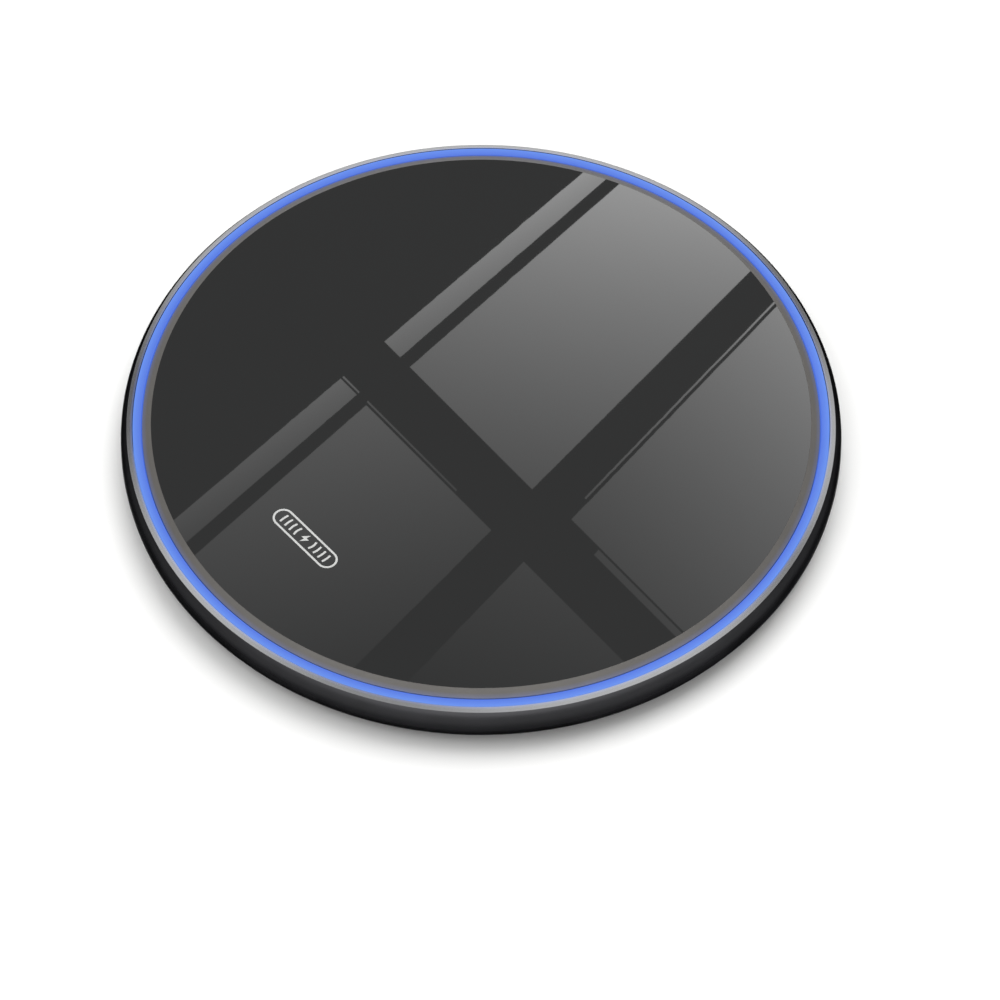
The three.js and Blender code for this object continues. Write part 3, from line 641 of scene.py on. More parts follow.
# By the record's material slots, and then finishes that only some faces of a piece have
materials = {
    # Float glass, blacked from behind. Its polished face mirrors the room.
    "black_glass": mottled("black_backed_glass", "0b0c0c", "0f1010", 0.006, 25, IOR=1.5),
    "light_guide": lit_guide(),
    # Aluminium blasted with fine beads and anodised black: a dark satin with a barely visible grain. The
    # dyed oxide takes the shine off its edges, which the dark specular tint does.
    "anodised_frame": mottled("black_anodised_aluminium", "2a2a2b", "303032", 0.42, grain=0.06, depth=0.0025,
                              Metallic=1.0, Specular_Tint=(0.2, 0.2, 0.2, 1)),
    # ABS from a spark-eroded mould: an even pebble that looks matte, drawn coarse enough to show
    "base_plastic": mottled("black_abs_spark_texture", "161617", "1f1f20", 0.58, grain=0.3, depth=0.05),
    # Natural white ABS from a plain mould: smooth and slightly creamy
    "cover_plastic": mottled("white_abs", "d8d8d2", "e2e2dc", 0.45, grain=0.2, depth=0.002),
    # Moulded silicone rubber: matte, a little dusty, lighter where it has been touched
    "silicone": mottled("black_silicone", "2d2d2e", "393a3b", 0.7, 3, 0.07, 0.008, IOR=1.41),
    # Double-sided foam tape: cream and dull, with open cells
    "tape": mottled("acrylic_foam_tape", "cfc8b4", "ddd8c6", 0.75, grain=0.1, depth=0.01),
    # Green lacquer over glass cloth, half glossy, with the cloth's weave as a fine waviness
    "board": mottled("green_solder_mask", "0f4a28", "16582f", 0.32, 2, 0.45, 0.004),
    "copper": enamelled_copper(),
    # Sintered ferrite tile: charcoal, slightly glossy, with fine pores
    "ferrite": mottled("sintered_ferrite", "29292c", "37373a", 0.45, 4, 0.15, 0.006, IOR=1.9),
    # Zinc-plated steel: bright, bluish, finely mottled by the plating
    "steel": mottled("zinc_plated_steel", "a9adb3", "c3c6ca", 0.3, 1, 0.1, 0.002, Metallic=1.0),
    # Drawn steel, nickel plated: a warm silver, smooth, with faint drawing marks
    "port_shell": mottled("nickel_plated_steel", "b3b3b2", "c9c9c6", 0.24, 2, 0.1, 0.0015, Metallic=1.0),
    # Glass-filled nylon, moulded: black with a slight sheen, and flow marks of the glass
    "port_insulator": mottled("black_glass_filled_nylon", "141414", "1c1c1c", 0.5, 1, 0.06, 0.004),
    # Moulded epoxy of a chip: dark grey with a fine sandy face
    "chip_resin": mottled("moulded_epoxy", "19191c", "242427", 0.55, 1, 0.05, 0.006),
    # The crystal's gilt lid, welded on: a pale brass colour
    "crystal_can": mottled("seam_welded_lid", "b9b4a4", "cdc8b8", 0.28, 1, 0.1, 0.002, Metallic=1.0),
    # The glass glaze over a resistor's film: nearly black and glossy
    "resistor": mottled("glazed_resistor", "16161a", "202026", 0.25, 0.5, 0.1, 0.002),
    # Layered titanate ceramic of a capacitor, fired: matte tan, a little darker in places
    "capacitor": mottled("fired_titanate_ceramic", "9c7a55", "b08d66", 0.45, 0.8, 0.05, 0.003),
    # Reflector plastic of a light, filled with titanium white
    "led": mottled("white_reflector_plastic", "e8e8e2", "f3f3ee", 0.4, 0.5, 0.08, 0.002),
    # Epoxy that ran round the bead as a drop: dark brown and shiny
    "thermistor_resin": mottled("dipped_epoxy", "241a14", "30241b", 0.22, 0.8, 0.3, 0.004),
    # Soft silicone gap filler: blue-grey and dull, with the print of its carrier
    "thermal_pad": mottled("soft_gap_filler", "8790a4", "99a2b4", 0.65, 2, 0.1, 0.01),
    "ground_glass": ground_glass(),
    "bright_cut": cut_aluminium(),
    # Screen-printed ink: a thin coat, so its white is a light matte grey, with the mottle of the mesh
    "ink": mottled("white_ink", "b2b3b1", "c0c1bf", 0.55, 1, 0.08, 0.001),
    # The board's lacquer where a track lies under it: lighter and a bit yellower
    "track": mottled("solder_mask_over_copper", "1f6e35", "2a7d3e", 0.3, 2, 0.3, 0.003),
    # Routed glass epoxy: a dull straw colour with the cut ends of the cloth
    "board_edge": mottled("routed_glass_epoxy", "a89a5c", "bdb070", 0.7, 0.6, 0.08, 0.01),
    # Hard gold flashed over nickel: a pale, even yellow
    "gold": mottled("gold_plated_contact", "d9a94e", "e6bb66", 0.22, 0.5, 0.08, 0.001, Metallic=1.0),
    # Tin, as it set: light grey, rather rough, slightly wavy
    "tin": mottled("tinned_copper", "b9babb", "d2d3d3", 0.34, 0.4, 0.15, 0.006, Metallic=1.0),
    # Fired alumina: white, matte, slightly grainy
    "alumina": mottled("fired_alumina", "dedcd4", "ebe9e2", 0.6, 0.6, 0.06, 0.004),
    # The clear silicone over a blue light chip, lit
    "lens": mottled("lit_blue_lens", "7fa6f8", "9dbbfa", 0.2, 0.8, IOR=1.41, Emission_Strength=2.3,
                    Emission_Color=linear("5783f6")),
}

# ---------------------------------------------------------------------------------------------
# Casing
# ---------------------------------------------------------------------------------------------


def at_screws(some):
    """A copy of a shell at each screw."""
    return [moved(some, x=screw_circle, degrees=degrees) for degrees in SCREW_ANGLES]


def boss_shell(radius, root, tip):
    """A round boss from its root to its tip, up or down, with the tip's edge broken."""
    corners = [(0, root), (radius, root), (radius, tip, 0.1 * MM), (0, tip)]
    return turned(corners if tip > root else corners[::-1], closed=False, segments=64)


def rim_frame():
    """Turned frame: rounded below, upright, a shoulder that leans in, the bright chamfer, and the bore."""
    bottom = low("rim_frame").z
    ledge = low("light_guide").z
    opening = high("base_cover").x + OPENING_CLEARANCE
    lean = math.degrees(math.acos(1 - RIM_SETBACK / SHOULDER_RADIUS))
    shoulder_z = guide_top - CHAMFER_DROP - SHOULDER_RADIUS * math.sin(math.radians(lean))
    foot = pad_radius - RIM_SETBACK
    edge = pad_radius - EDGE_RADIUS
    outline = [
        (opening, bottom),
        *arc(edge, bottom + EDGE_RADIUS, EDGE_RADIUS, -90, 0),
        *arc(pad_radius - SHOULDER_RADIUS, shoulder_z, SHOULDER_RADIUS, 0, lean)[:-1],
        (foot, guide_top - CHAMFER_DROP, 0.0, 1),
        (bore, guide_top, 0.0, 0),
        (bore, ledge),
        (skirt_inner, ledge),
        (skirt_inner, base_top),
        (opening, base_top),
    ]
    piece = make_piece("frame_turning", turned(outline), "anodised_frame", "bright_cut", sharp=20)
    length, height = port_size.x + 2 * PORT_CLEARANCE, port_size.z + 2 * PORT_CLEARANCE
    start = shell_low.y - MM
    cutter = stadium_bar(length, height, [(0, 0), (pad_radius + MM - start, 0)])
    finish_piece(carve(piece, cut=[laid(cutter, start, port_z)], sharp=20), "anodised_frame", "rim_frame")


def glass_panel():
    """Disc with a ground bevel, its face polished."""
    top, bottom = high("glass_panel").z - FILM, low("glass_panel").z
    outline = [
        (0, bottom),
        (glass_radius, bottom, 0.05 * MM, 1),
        (glass_radius, top - BEVEL_DROP, 0.05 * MM, 1),
        (glass_radius - BEVEL_WIDTH, top, 0.02 * MM, 0),
        (0, top),
    ]
    piece = make_piece("glass_disc", turned(outline, closed=False), "black_glass", "ground_glass", sharp=20)
    finish_piece(piece, "black_glass", "glass_panel")


def light_ring():
    """Guide ring with a skirt under the inner cover, notched over the inlet."""
    bottom = low("light_guide").z
    outline = [
        (skirt_inner, bottom),
        (guide_outer, bottom),
        (guide_outer, guide_top),
        (guide_inner, guide_top),
        (guide_inner, cover_foot),
        (skirt_inner, cover_foot),
    ]
    half = port_size.x / 2 + 2 * PORT_CLEARANCE
    notch = raised(rectangle(-half, half, shell_low.y, pad_radius), bottom - MM, cover_foot + PORT_CLEARANCE)
    piece = carve(make_piece("light_ring", turned(outline), "light_guide"), cut=[notch])
    finish_piece(piece, "light_guide", "light_guide")


def panel_tape():
    """Disc of tape under the glass, its cut edge slightly bulged."""
    foot, top, radius = low("panel_adhesive").z, high("panel_adhesive").z, high("panel_adhesive").x
    middle = (foot + top) / 2
    cut = radius - 0.05 * MM
    outline = [(0, foot), (cut, foot), (radius, middle, 0.05 * MM), (cut, top), (0, top)]
    finish_piece(make_piece("panel_tape", turned(outline, closed=False), "tape"), "tape", "panel_adhesive")


def inner_cover():
    """Plate under the glass with a rib round the coil and four bosses, which the screws bite into."""
    radius = high("inner_cover").x
    rib_inner = coil_radius + RIB_CLEARANCE
    rib_outer, rib_foot = rib_inner + RIB_WALL, coil_foot + PORT_CLEARANCE
    outline = [
        (0, cover_foot),
        (rib_inner, cover_foot, 0.15 * MM),
        (rib_inner, rib_foot, 0.1 * MM),
        (rib_outer, rib_foot, 0.1 * MM),
        (rib_outer, cover_foot, 0.15 * MM),
        (radius, cover_foot, 0.1 * MM),
        (radius, cover_top, 0.1 * MM),
        (0, cover_top),
    ]
    boss = boss_shell(COVER_BOSS_RADIUS, cover_foot + FOIL, board_top)
    pilot = cylinder(SHANK_RADIUS + 0.06 * MM, board_top - MM, cover_foot)
    _, degrees, _, _ = seat("coil_lead_outer")
    half = RIB_WALL / 2 + RIB_CLEARANCE
    gap = raised(rectangle(-half, half, -2 * LEAD_RADIUS, 2 * LEAD_RADIUS), board_top, cover_foot)
    gap = moved(gap, x=rib_inner + RIB_WALL / 2, degrees=degrees)
    piece = make_piece("inner_plate", turned(outline, closed=False), "cover_plastic")
    piece = carve(piece, join=at_screws(boss), cut=[gap, *at_screws(pilot)])
    finish_piece(piece, "cover_plastic", "inner_cover")


def base_cover():
    """Bottom plate: a groove for the anti-slip ring, counterbored bosses, and slots with broken edges."""
    radius, groove = high("base_cover").x, high("antislip_ring").z
    outline = [
        (0, base_foot),
        (ring_inner - RING_CLEARANCE, base_foot, 0.12 * MM),
        (ring_inner - RING_CLEARANCE, groove),
        (ring_outer + RING_CLEARANCE, groove),
        (ring_outer + RING_CLEARANCE, base_foot, 0.12 * MM),
        (radius, base_foot, 0.2 * MM),
        (radius, base_top),
        (0, base_top),
    ]
    boss_foot = base_top - BASE_THICKNESS / 4
    boss = boss_shell(BASE_BOSS_RADIUS, boss_foot, board_foot)
    seat_z = screw_foot + HEAD_HEIGHT
    counterbore = cylinder(screw_size[0] / 2 + HEAD_CLEARANCE, base_foot, seat_z)
    hole = cylinder(SHANK_RADIUS + 0.2 * MM, base_foot, board_foot + MM)
    flare = 0.15 * MM
    rows = [(-MM, -flare), (0, -flare), (flare, 0), (BASE_THICKNESS + MM, 0)]
    slot = moved(stadium_bar(VENT_LENGTH, VENT_WIDTH, rows, steps=12), z=base_foot,
                 x=ring_inner - VENT_MARGIN - VENT_LENGTH / 2)
    slots = [moved(slot, degrees=360 / VENT_COUNT * (i + 0.5)) for i in range(VENT_COUNT)]
    piece = make_piece("bottom_plate", turned(outline, closed=False), "base_plastic")
    piece = carve(piece, join=at_screws(boss), cut=[*at_screws(counterbore), *at_screws(hole), *slots])
    finish_piece(piece, "base_plastic", "base_cover")


def antislip_ring():
    """Silicone ring with soft edges that the pad stands on."""
    top = high("antislip_ring").z
    outline = [
        (ring_inner, 0, 0.3 * MM),
        (ring_outer, 0, 0.3 * MM),
        (ring_outer, top),
        (ring_inner, top),
    ]
    finish_piece(make_piece("grip_ring", turned(outline), "silicone"), "silicone", "antislip_ring")


def screws():
    """Self-tapping screws, heads down. The thread's radius is root + depth * peak, where peak is a triangle
    wave of (height / pitch - angle / a full turn), and it fades out towards the head and the tip."""
    length = screw_size[2] - HEAD_HEIGHT
    radius = screw_size[0] / 2
    head = [
        (0, -HEAD_HEIGHT),
        (radius, -HEAD_HEIGHT, 0.25 * MM),
        (radius, 0, 0.06 * MM),
        (0, 0),
    ]
    z = np.linspace(-0.1 * MM, length, 60)[:, None]
    angle = np.linspace(0, 2 * np.pi, 36, endpoint=False)[None, :]
    phase = (z / THREAD_PITCH - angle / (2 * np.pi)) % 1
    peak = np.clip(1 - np.abs(phase - 0.5) / THREAD_FLANK, 0, 1)
    fade = np.clip((z - THREAD_START) / THREAD_RISE, 0, 1) * np.clip((length - z) / THREAD_RUNOUT, 0, 1)
    core = THREAD_ROOT_RADIUS * np.clip((length - z) / TIP_LENGTH + TIP_BLUNTNESS, 0, 1)
    r = core + (SHANK_RADIUS - THREAD_ROOT_RADIUS) * peak * fade
    rings = np.stack([r * np.cos(angle), r * np.sin(angle), np.broadcast_to(z, r.shape)], axis=-1)
    shank = stacked(list(rings))
    arm = raised(stadium(CROSS_LENGTH, CROSS_WIDTH, 6), -HEAD_HEIGHT - MM, CROSS_DEPTH - HEAD_HEIGHT)
    cone_foot, cone_tip = -HEAD_HEIGHT - 0.1 * MM, CROSS_DEPTH - HEAD_HEIGHT + 0.05 * MM
    cone_outline = [(0, cone_foot), (CROSS_CONE_RADIUS, cone_foot, 0.0), (0, cone_tip)]
    cone = turned(cone_outline, closed=False, segments=24)
    for i in range(1, 5):
        circle, degrees, foot, _ = seat(f"screw_{i}")
        place = {"x": circle, "z": foot + HEAD_HEIGHT, "degrees": degrees}
        body = moved(turned(head, closed=False, segments=72), **place)
        piece = make_piece(f"head_screw_{i}", body, "steel")
        cuts = [moved(some, **place) for some in (arm, moved(arm, degrees=90), cone)]
        finish_piece(carve(piece, join=[moved(shank, **place)], cut=cuts), "steel", f"screw_{i}")


def printed_mark():
    """A plain bolt with four arcs on each side, inside a slot outline, printed near the user's edge."""
    top = high("glass_panel").z
    foot = top - 2 * FILM
    rows = [(foot, 0), (top, 0), (top, MARK_STROKE), (foot, MARK_STROKE)]
    bolt = np.array([(0.2, 0.9), (-0.62, -0.16), (-0.1, -0.16), (-0.2, -0.9), (0.62, 0.16), (0.1, 0.16)])
    marks = [stadium_bar(MARK_LENGTH, MARK_WIDTH, rows, hollow=True), raised(bolt * MM, foot, top)]
    for radius in MARK_ARC_RADII:
        reach = math.asin(MARK_ARC_HALF / radius)
        angles = np.linspace(-reach, reach, 17)
        path = np.column_stack([radius * np.cos(angles), radius * np.sin(angles), np.full(17, top - FILM)])
        ribbon = swept(path, rectangle(-MARK_STROKE / 2, MARK_STROKE / 2, -FILM, FILM))
        marks += [ribbon, moved(ribbon, degrees=180)]
    for i, some in enumerate(marks, 1):
        finish_piece(make_piece(f"printed_mark_{i}", moved(some, y=-MARK_OUT), "ink"), "cover_plastic")


# ---------------------------------------------------------------------------------------------
# Inlet
# ---------------------------------------------------------------------------------------------


def port_shell():
    """Drawn shell: a slot outline carried along y from the closed rear, over the rolled lip and back in."""
    mouth, lip = port_size.y, SHELL_WALL / 2
    quarter = np.radians([0, 30, 60, 90])
    rows = [(SHELL_BEND * (1 - math.cos(t)), SHELL_BEND * (1 - math.sin(t))) for t in quarter]
    rows += [(mouth - 2 * lip, 0)]
    roll = np.radians(np.linspace(0, 180, 9))
    rows += [(mouth - lip * (1 - math.sin(t)), lip * (1 - math.cos(t))) for t in roll]
    rows += [(SHELL_REAR_WALL + 0.15 * MM, SHELL_WALL), (SHELL_REAR_WALL, SHELL_WALL + 0.15 * MM)]
    some = laid(stadium_bar(port_size.x, port_size.z, rows), shell_low.y, port_z)
    finish_piece(make_piece("inlet_shell", some, "port_shell"), "port_shell", "usb_shell")


def port_tongue():
    """Insulator in the shell, a tongue in its middle, and twelve gilt contacts on each face of the tongue."""
    box_low, box_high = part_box("usb_tongue")
    size = box_high - box_low
    depth = size.y - TONGUE_LENGTH
    rows = [(0, 0.1 * MM), (0.1 * MM, 0), (depth - 0.1 * MM, 0), (depth, 0.1 * MM)]
    body = laid(stadium_bar(size.x, size.z, rows), box_low.y, port_z)
    tongue = laid(block((TONGUE_WIDTH, TONGUE_THICKNESS, size.y), 0.15 * MM, 0.12 * MM), box_low.y, port_z)
    piece = make_piece("inlet_insulator", body, "port_insulator")
    finish_piece(carve(piece, join=[tongue]), "port_insulator", "usb_tongue")
    contacts = []
    for i in range(CONTACT_COUNT):
        length = LONG_CONTACT_LENGTH if i in LONG_CONTACTS else CONTACT_LENGTH
        strip = block((CONTACT_WIDTH, 2 * FOIL, length), 0.02 * MM, 0.01 * MM)
        x = (i - (CONTACT_COUNT - 1) / 2) * CONTACT_PITCH
        for side in (-1, 1):
            place = moved(strip, x=x, y=side * TONGUE_THICKNESS / 2)
            contacts.append(laid(place, box_low.y + depth + 0.3 * MM, port_z))
    finish_piece(make_piece("inlet_contacts", joined(contacts), "gold"), "copper")


# ---------------------------------------------------------------------------------------------
# Coil and board
# ---------------------------------------------------------------------------------------------


def wound(name, path, section, *finishes):
    """A wire swept along a path, with a map of its own: u runs once round it, v along it in metres."""
    rows, columns = len(path), len(section)
    piece = make_piece(name, swept(path, section), *finishes)
    v = np.concatenate([[0], np.cumsum(np.linalg.norm(np.diff(path, axis=0), axis=1))])
    u = np.arange(columns + 1) / columns
    corner_u = np.stack([u[:-1], u[1:], u[1:], u[:-1]], axis=-1)
    corner_v = np.stack([v[:-1], v[:-1], v[1:], v[1:]], axis=-1)
    grid = np.empty((rows - 1, columns, 4, 2))
    grid[..., 0], grid[..., 1] = corner_u[None], corner_v[:, None]
    values = np.concatenate([grid.ravel(), np.zeros(4 * columns)])
    piece.data.uv_layers.new(name="wind").data.foreach_set("uv", values)
    return piece


def charging_coil():
    """Flat spiral of stranded wire: its radius grows evenly with the angle, by one pitch each turn. It
    starts at the flat lead and ends at the round one."""
    start = math.radians(lead_degrees)
    turn = 2 * math.pi * COIL_TURNS + math.radians(seat("coil_lead_outer")[1]) - start
    pitch = (coil_radius - COIL_INNER_RADIUS) / (turn / (2 * math.pi) + WIRE_FILL)
    width = WIRE_FILL * pitch
    t = np.linspace(0, turn, 120 * COIL_TURNS)
    radius = COIL_INNER_RADIUS + width / 2 + pitch * t / (2 * np.pi)
    height = np.full(len(t), (coil_foot + coil_top) / 2)
    path = np.column_stack([radius * np.cos(start + t), radius * np.sin(start + t), height])
    piece = wound("wound_coil", path, oval(width, coil_top - coil_foot, 14, 0.75), "copper")
    finish_piece(piece, "copper", "charging_coil")


def smooth_path(points, steps):
    """A path through points that turns evenly, by Catmull and Rom's rule on each stretch."""
    points = np.asarray(points)
    ends = np.vstack([2 * points[0] - points[1], points, 2 * points[-1] - points[-2]])
    t = np.linspace(0, 1, steps, endpoint=False)[:, None]
    stretches = []
    for a, b, c, d in zip(ends[:-3], ends[1:-2], ends[2:-1], ends[3:]):
        bend = 2 * a - 5 * b + 4 * c - d
        stretches.append(0.5 * (2 * b + (c - a) * t + bend * t**2 + (3 * b - a - 3 * c + d) * t**3))
    return np.vstack([*stretches, points[-1:]])


def coil_leads():
    """The round lead comes down off the ferrite's edge to its pad. The flat one runs under the coil in the
    ferrite's slot, and turns up to the coil's inner turn. Both end in solder."""
    out, degrees, foot, size = seat("coil_lead_outer")
    end, coil_z, pad_z = out + size[0] / 2, (coil_foot + coil_top) / 2, foot + LEAD_RADIUS
    x = [coil_radius - 0.1 * MM, ferrite_radius, ferrite_radius + 3 * LEAD_RADIUS, end - 3 * LEAD_RADIUS, end]
    z = [coil_z, coil_z, (coil_z + pad_z) / 2, pad_z, pad_z]
    path = smooth_path(np.column_stack([x, np.zeros(5), z]), 12)
    turn = np.array(Matrix.Rotation(math.radians(degrees), 3, "Z"))
    piece = wound("round_lead", path @ turn.T, oval(2 * LEAD_RADIUS, 2 * LEAD_RADIUS, 14), "copper")
    finish_piece(piece, "copper", "coil_lead_outer")

    inner_end, outer_end = lead_out - lead_size[0] / 2, lead_out + lead_size[0] / 2
    thick = FLAT_LEAD_THICKNESS
    riser = inner_end + FLAT_LEAD_WIDTH / 2
    line, _ = soften([(outer_end, board_top + thick / 2), (riser, board_top + thick / 2, 0.7 * MM),
                      (riser, coil_z)], closed=False, steps=8)
    path = np.column_stack([line[:, 0], np.zeros(len(line)), line[:, 1]])
    turn = np.array(Matrix.Rotation(math.radians(lead_degrees), 3, "Z"))
    flat = oval(thick, FLAT_LEAD_WIDTH, 16, 0.5)
    piece = make_piece("flat_lead", swept(path @ turn.T, flat, turn[:, 1]), "copper")
    piece.data.uv_layers.new(name="wind")
    finish_piece(piece, "copper", "coil_lead_inner")

    blob = block((2.2 * MM, 1.8 * MM, 0.5 * MM), 0.6 * MM, 0.45 * MM)
    joint = block((1.9 * MM, 1.2 * MM, 0.5 * MM), 0.4 * MM, 0.22 * MM)
    dabs = [
        moved(blob, x=end - 0.6 * MM, z=board_top, degrees=degrees),
        moved(blob, x=outer_end - 0.4 * MM, z=board_top, degrees=lead_degrees),
        moved(joint, x=riser + 0.7 * MM, z=coil_z - 0.25 * MM, degrees=lead_degrees),
    ]
    finish_piece(make_piece("lead_solder", joined(dabs), "tin"), "steel")


def ferrite_and_tape():
    """The tile and its tape, each a disc with a slot for the flat lead and a hole for the thermistor."""
    half = FLAT_LEAD_WIDTH / 2 + SLOT_CLEARANCE
    start = lead_out - lead_size[0] / 2 - SLOT_CLEARANCE
    sheets = [("ferrite_tile", "ferrite_sheet", "ferrite"), ("ferrite_tape", "ferrite_adhesive", "tape")]
    for name, node, finish in sheets:
        foot, top, radius = low(node).z, high(node).z, high(node).x
        outline = [(0, foot), (radius, foot), (radius, top), (0, top)]
        slot = raised(rectangle(start, radius + MM, -half, half), foot - MM, top + MM)
        hole = cylinder(FERRITE_HOLE_RADIUS, foot - MM, top + MM)
        piece = make_piece(name, turned(outline, closed=False), finish)
        finish_piece(carve(piece, cut=[moved(slot, degrees=lead_degrees), hole]), finish, node)


def thermistor():
    """Dipped bead on two pins. The bead's height goes with sin t, and its radius with cos t to the power
    0.8, which is a ball with full shoulders."""
    foot, top = low("thermistor").z, high("thermistor").z
    radius = (high("thermistor").y - low("thermistor").y) / 2
    height = top - coil_foot
    t = np.radians(np.linspace(-80, 80, 17))
    z = coil_foot + height * (1 + np.sin(t)) / 2
    bead = np.column_stack([radius * np.cos(t) ** 0.8, z, 0 * t, 0 * t])
    some = turned([(0, coil_foot), *bead.tolist(), (0, top)], closed=False, segments=48)
    piece = make_piece("thermistor_bead", some, "thermistor_resin")
    finish_piece(piece, "thermistor_resin", "thermistor")
    pin = cylinder(PIN_RADIUS, foot, coil_foot + PIN_RADIUS, 16)
    pins = joined([moved(pin, x=side * BEAD_PITCH / 2) for side in (-1, 1)])
    finish_piece(make_piece("thermistor_pins", pins, "tin"), "steel")


def track(radius, width, start, end):
    """A copper track round the board, from one angle to another, lying under its lacquer."""
    steps = max(8, int(abs(end - start) / 2))
    angles = np.radians(np.linspace(start, end, steps + 1))
    height = np.full(len(angles), board_top)
    path = np.column_stack([radius * np.cos(angles), radius * np.sin(angles), height])
    return swept(path, rectangle(-width / 2, width / 2, -FOIL / 2, FOIL))


def spoke(inner, outer, width, degrees, sideways=0.0):
    """A straight track along the radius, or beside it. It is a little lower than the round tracks, so that
    their tops don't lie in one plane where they cross."""
    size = (outer - inner, width, 1.4 * FOIL)
    return moved(block(size, width / 4, FOIL / 2), x=(inner + outer) / 2, y=sideways, z=board_top - FOIL / 2,
                 degrees=degrees)


def circuit_board():
    """Round board, green on both faces, with screw holes and a notch that the inlet's shell sits in."""
    radius = high("circuit_board").x
    edge = 0.04 * MM
    outline = [(0, board_foot), (radius, board_foot, edge, 1), (radius, board_top, edge, 0), (0, board_top)]
    rear = shell_low.y - PORT_CLEARANCE
    half = port_size.x / 2 + PORT_CLEARANCE
    notch = raised(rectangle(-half, half, rear, pad_radius), board_foot - MM, board_top + MM)
    hole = cylinder(SHANK_RADIUS + HOLE_CLEARANCE, board_foot - MM, board_top + MM)
    piece = make_piece("board_laminate", turned(outline, closed=False), "board", "board_edge")
    finish_piece(carve(piece, cut=[notch, *at_screws(hole)]), "board", "circuit_board")


def tracks():
    """Tracks: two rings that feed the lights, wide ones for the coil's current, narrow ones for signals, and
    a spoke from each part in to its ring."""
    lights = seat("led_1")[0]
    buses = [lights - inward for inward in LIGHT_TRACKS]
    made = [track(radius, LIGHT_TRACK_WIDTH, *LIGHT_TRACK_SPAN) for radius in buses]
    wide = ferrite_radius + COIL_TRACK_WIDTH
    made += [track(wide, COIL_TRACK_WIDTH, *span) for span in COIL_TRACK_SPANS]
    for i in range(SIGNAL_TRACK_COUNT):
        radius = ferrite_radius + SIGNAL_TRACK_OUT + i * SIGNAL_TRACK_PITCH
        made.append(track(radius, SIGNAL_TRACK_WIDTH, 150 + 4 * i, 240 - 5 * i))
    for node in frame["nodes"]:
        if node.startswith("led_"):
            _, degrees, _, size = seat(node)
            for side, bus in zip((-1, 1), buses):
                made.append(spoke(bus, lights, 0.3 * MM, degrees, side * 0.4 * size[1]))
        elif node.startswith(("chip_", "resonant_", "input_", "bridge_", "sense_", "regulator_")):
            radius, degrees, _, size = seat(node)
            inner = radius - size[0] / 2 - 0.2 * MM
            made.append(spoke(wide, inner, min(size[1] / 2, 1.2 * MM), degrees))
    finish_piece(make_piece("board_tracks", joined(made), "track"), "board")


# ---------------------------------------------------------------------------------------------
# Parts on the board
# ---------------------------------------------------------------------------------------------


def capped_part(node, slot, cap, body, glaze=None, across=False):
    """A ceramic block with a tinned cap at each end, and on a resistor a strip of glaze on top. It lies
    along the radius, or across it."""
    _, _, _, (out, sideways, height) = seat(node)
    length, width = (sideways, out) if across else (out, sideways)
    step = 0.02 * MM
    end = block((cap, width, height), 0.1 * MM, 0.07 * MM, band=1)
    middle = block((length - 1.8 * cap, width - 2 * step, height - 2 * step), 0.06 * MM, 0.04 * MM)
    parts = [moved(middle, z=step), *(moved(end, x=side * (length - cap) / 2) for side in (-1, 1))]
    if glaze:
        strip = block((length - 2.3 * cap, width - 4 * step, 2 * step), 0.06 * MM, step / 2, band=2)
        parts.append(moved(strip, z=height - 2 * step))
    some = joined(parts)
    if across:
        some = moved(some, degrees=90)
    finishes = [body, "tin", glaze] if glaze else [body, "tin"]
    finish_piece(make_piece(f"{node}_body", at_seat(some, node), *finishes), slot, node)


def legs(count, pitch, start, end, width, shoulder):
    """Bent legs in a row on two sides: out of the body, down, and out again onto the board."""
    corners = [(start, shoulder), (start + 0.45 * (end - start), shoulder, LEG_BEND),
               (start + 0.6 * (end - start), LEG_THICKNESS / 2, LEG_BEND), (end, LEG_THICKNESS / 2)]
    leg = bent_strip(corners, width, LEG_THICKNESS, band=1)
    row = [moved(leg, y=(i - (count - 1) / 2) * pitch) for i in range(count)]
    return row + [moved(some, degrees=180) for some in row]


def pin_mark(x, y, z):
    """A printed dot beside a chip's first pin."""
    return moved(cylinder(DOT_RADIUS, -1.5 * FILM, 0, 24, band=2), x=x, y=y, z=z)


def chips():
    """The controller is a flat pack with pads round its foot. The others have bent legs on two sides."""
    size = seat("controller_chip")[3]
    body = block((size[0] - 0.04 * MM, size[1] - 0.04 * MM, size[2] - FILM), BODY_CORNER, BODY_EDGE)
    pad = block((0.34 * MM, 0.3 * MM, 0.2 * MM), 0.03 * MM, 0.02 * MM, band=1)
    row = [moved(pad, x=size[0] / 2 - 0.17 * MM, y=(i - (PADS_PER_SIDE - 1) / 2) * PAD_PITCH)
           for i in range(PADS_PER_SIDE)]
    pads = [moved(some, degrees=90 * k) for some in row for k in range(4)]
    dot = pin_mark(size[0] / 2 - 0.8 * MM, size[1] / 2 - 0.8 * MM, size[2])
    some = at_seat(joined([body, *pads, dot]), "controller_chip")
    piece = make_piece("controller_body", some, "chip_resin", "tin", "ink")
    finish_piece(piece, "chip_resin", "controller_chip")

    for node, (rows, pitch, width, inside, outside) in LEGGED_CHIPS.items():
        out, sideways, height = seat(node)[3]
        half_body = out / 2 - inside
        body_size = (2 * half_body, sideways, height - CHIP_LIFT - FILM)
        body = block(body_size, BODY_CORNER, BODY_EDGE, draft=DRAFT)
        parts = [moved(body, z=CHIP_LIFT)]
        parts += legs(rows, pitch, half_body - LEG_THICKNESS, out / 2 + outside, width, height / 2)
        parts.append(pin_mark(half_body - DOT_INSET, sideways / 2 - DOT_INSET, height))
        some = at_seat(joined(parts), node)
        finish_piece(make_piece(f"{node}_body", some, "chip_resin", "tin", "ink"), "chip_resin", node)


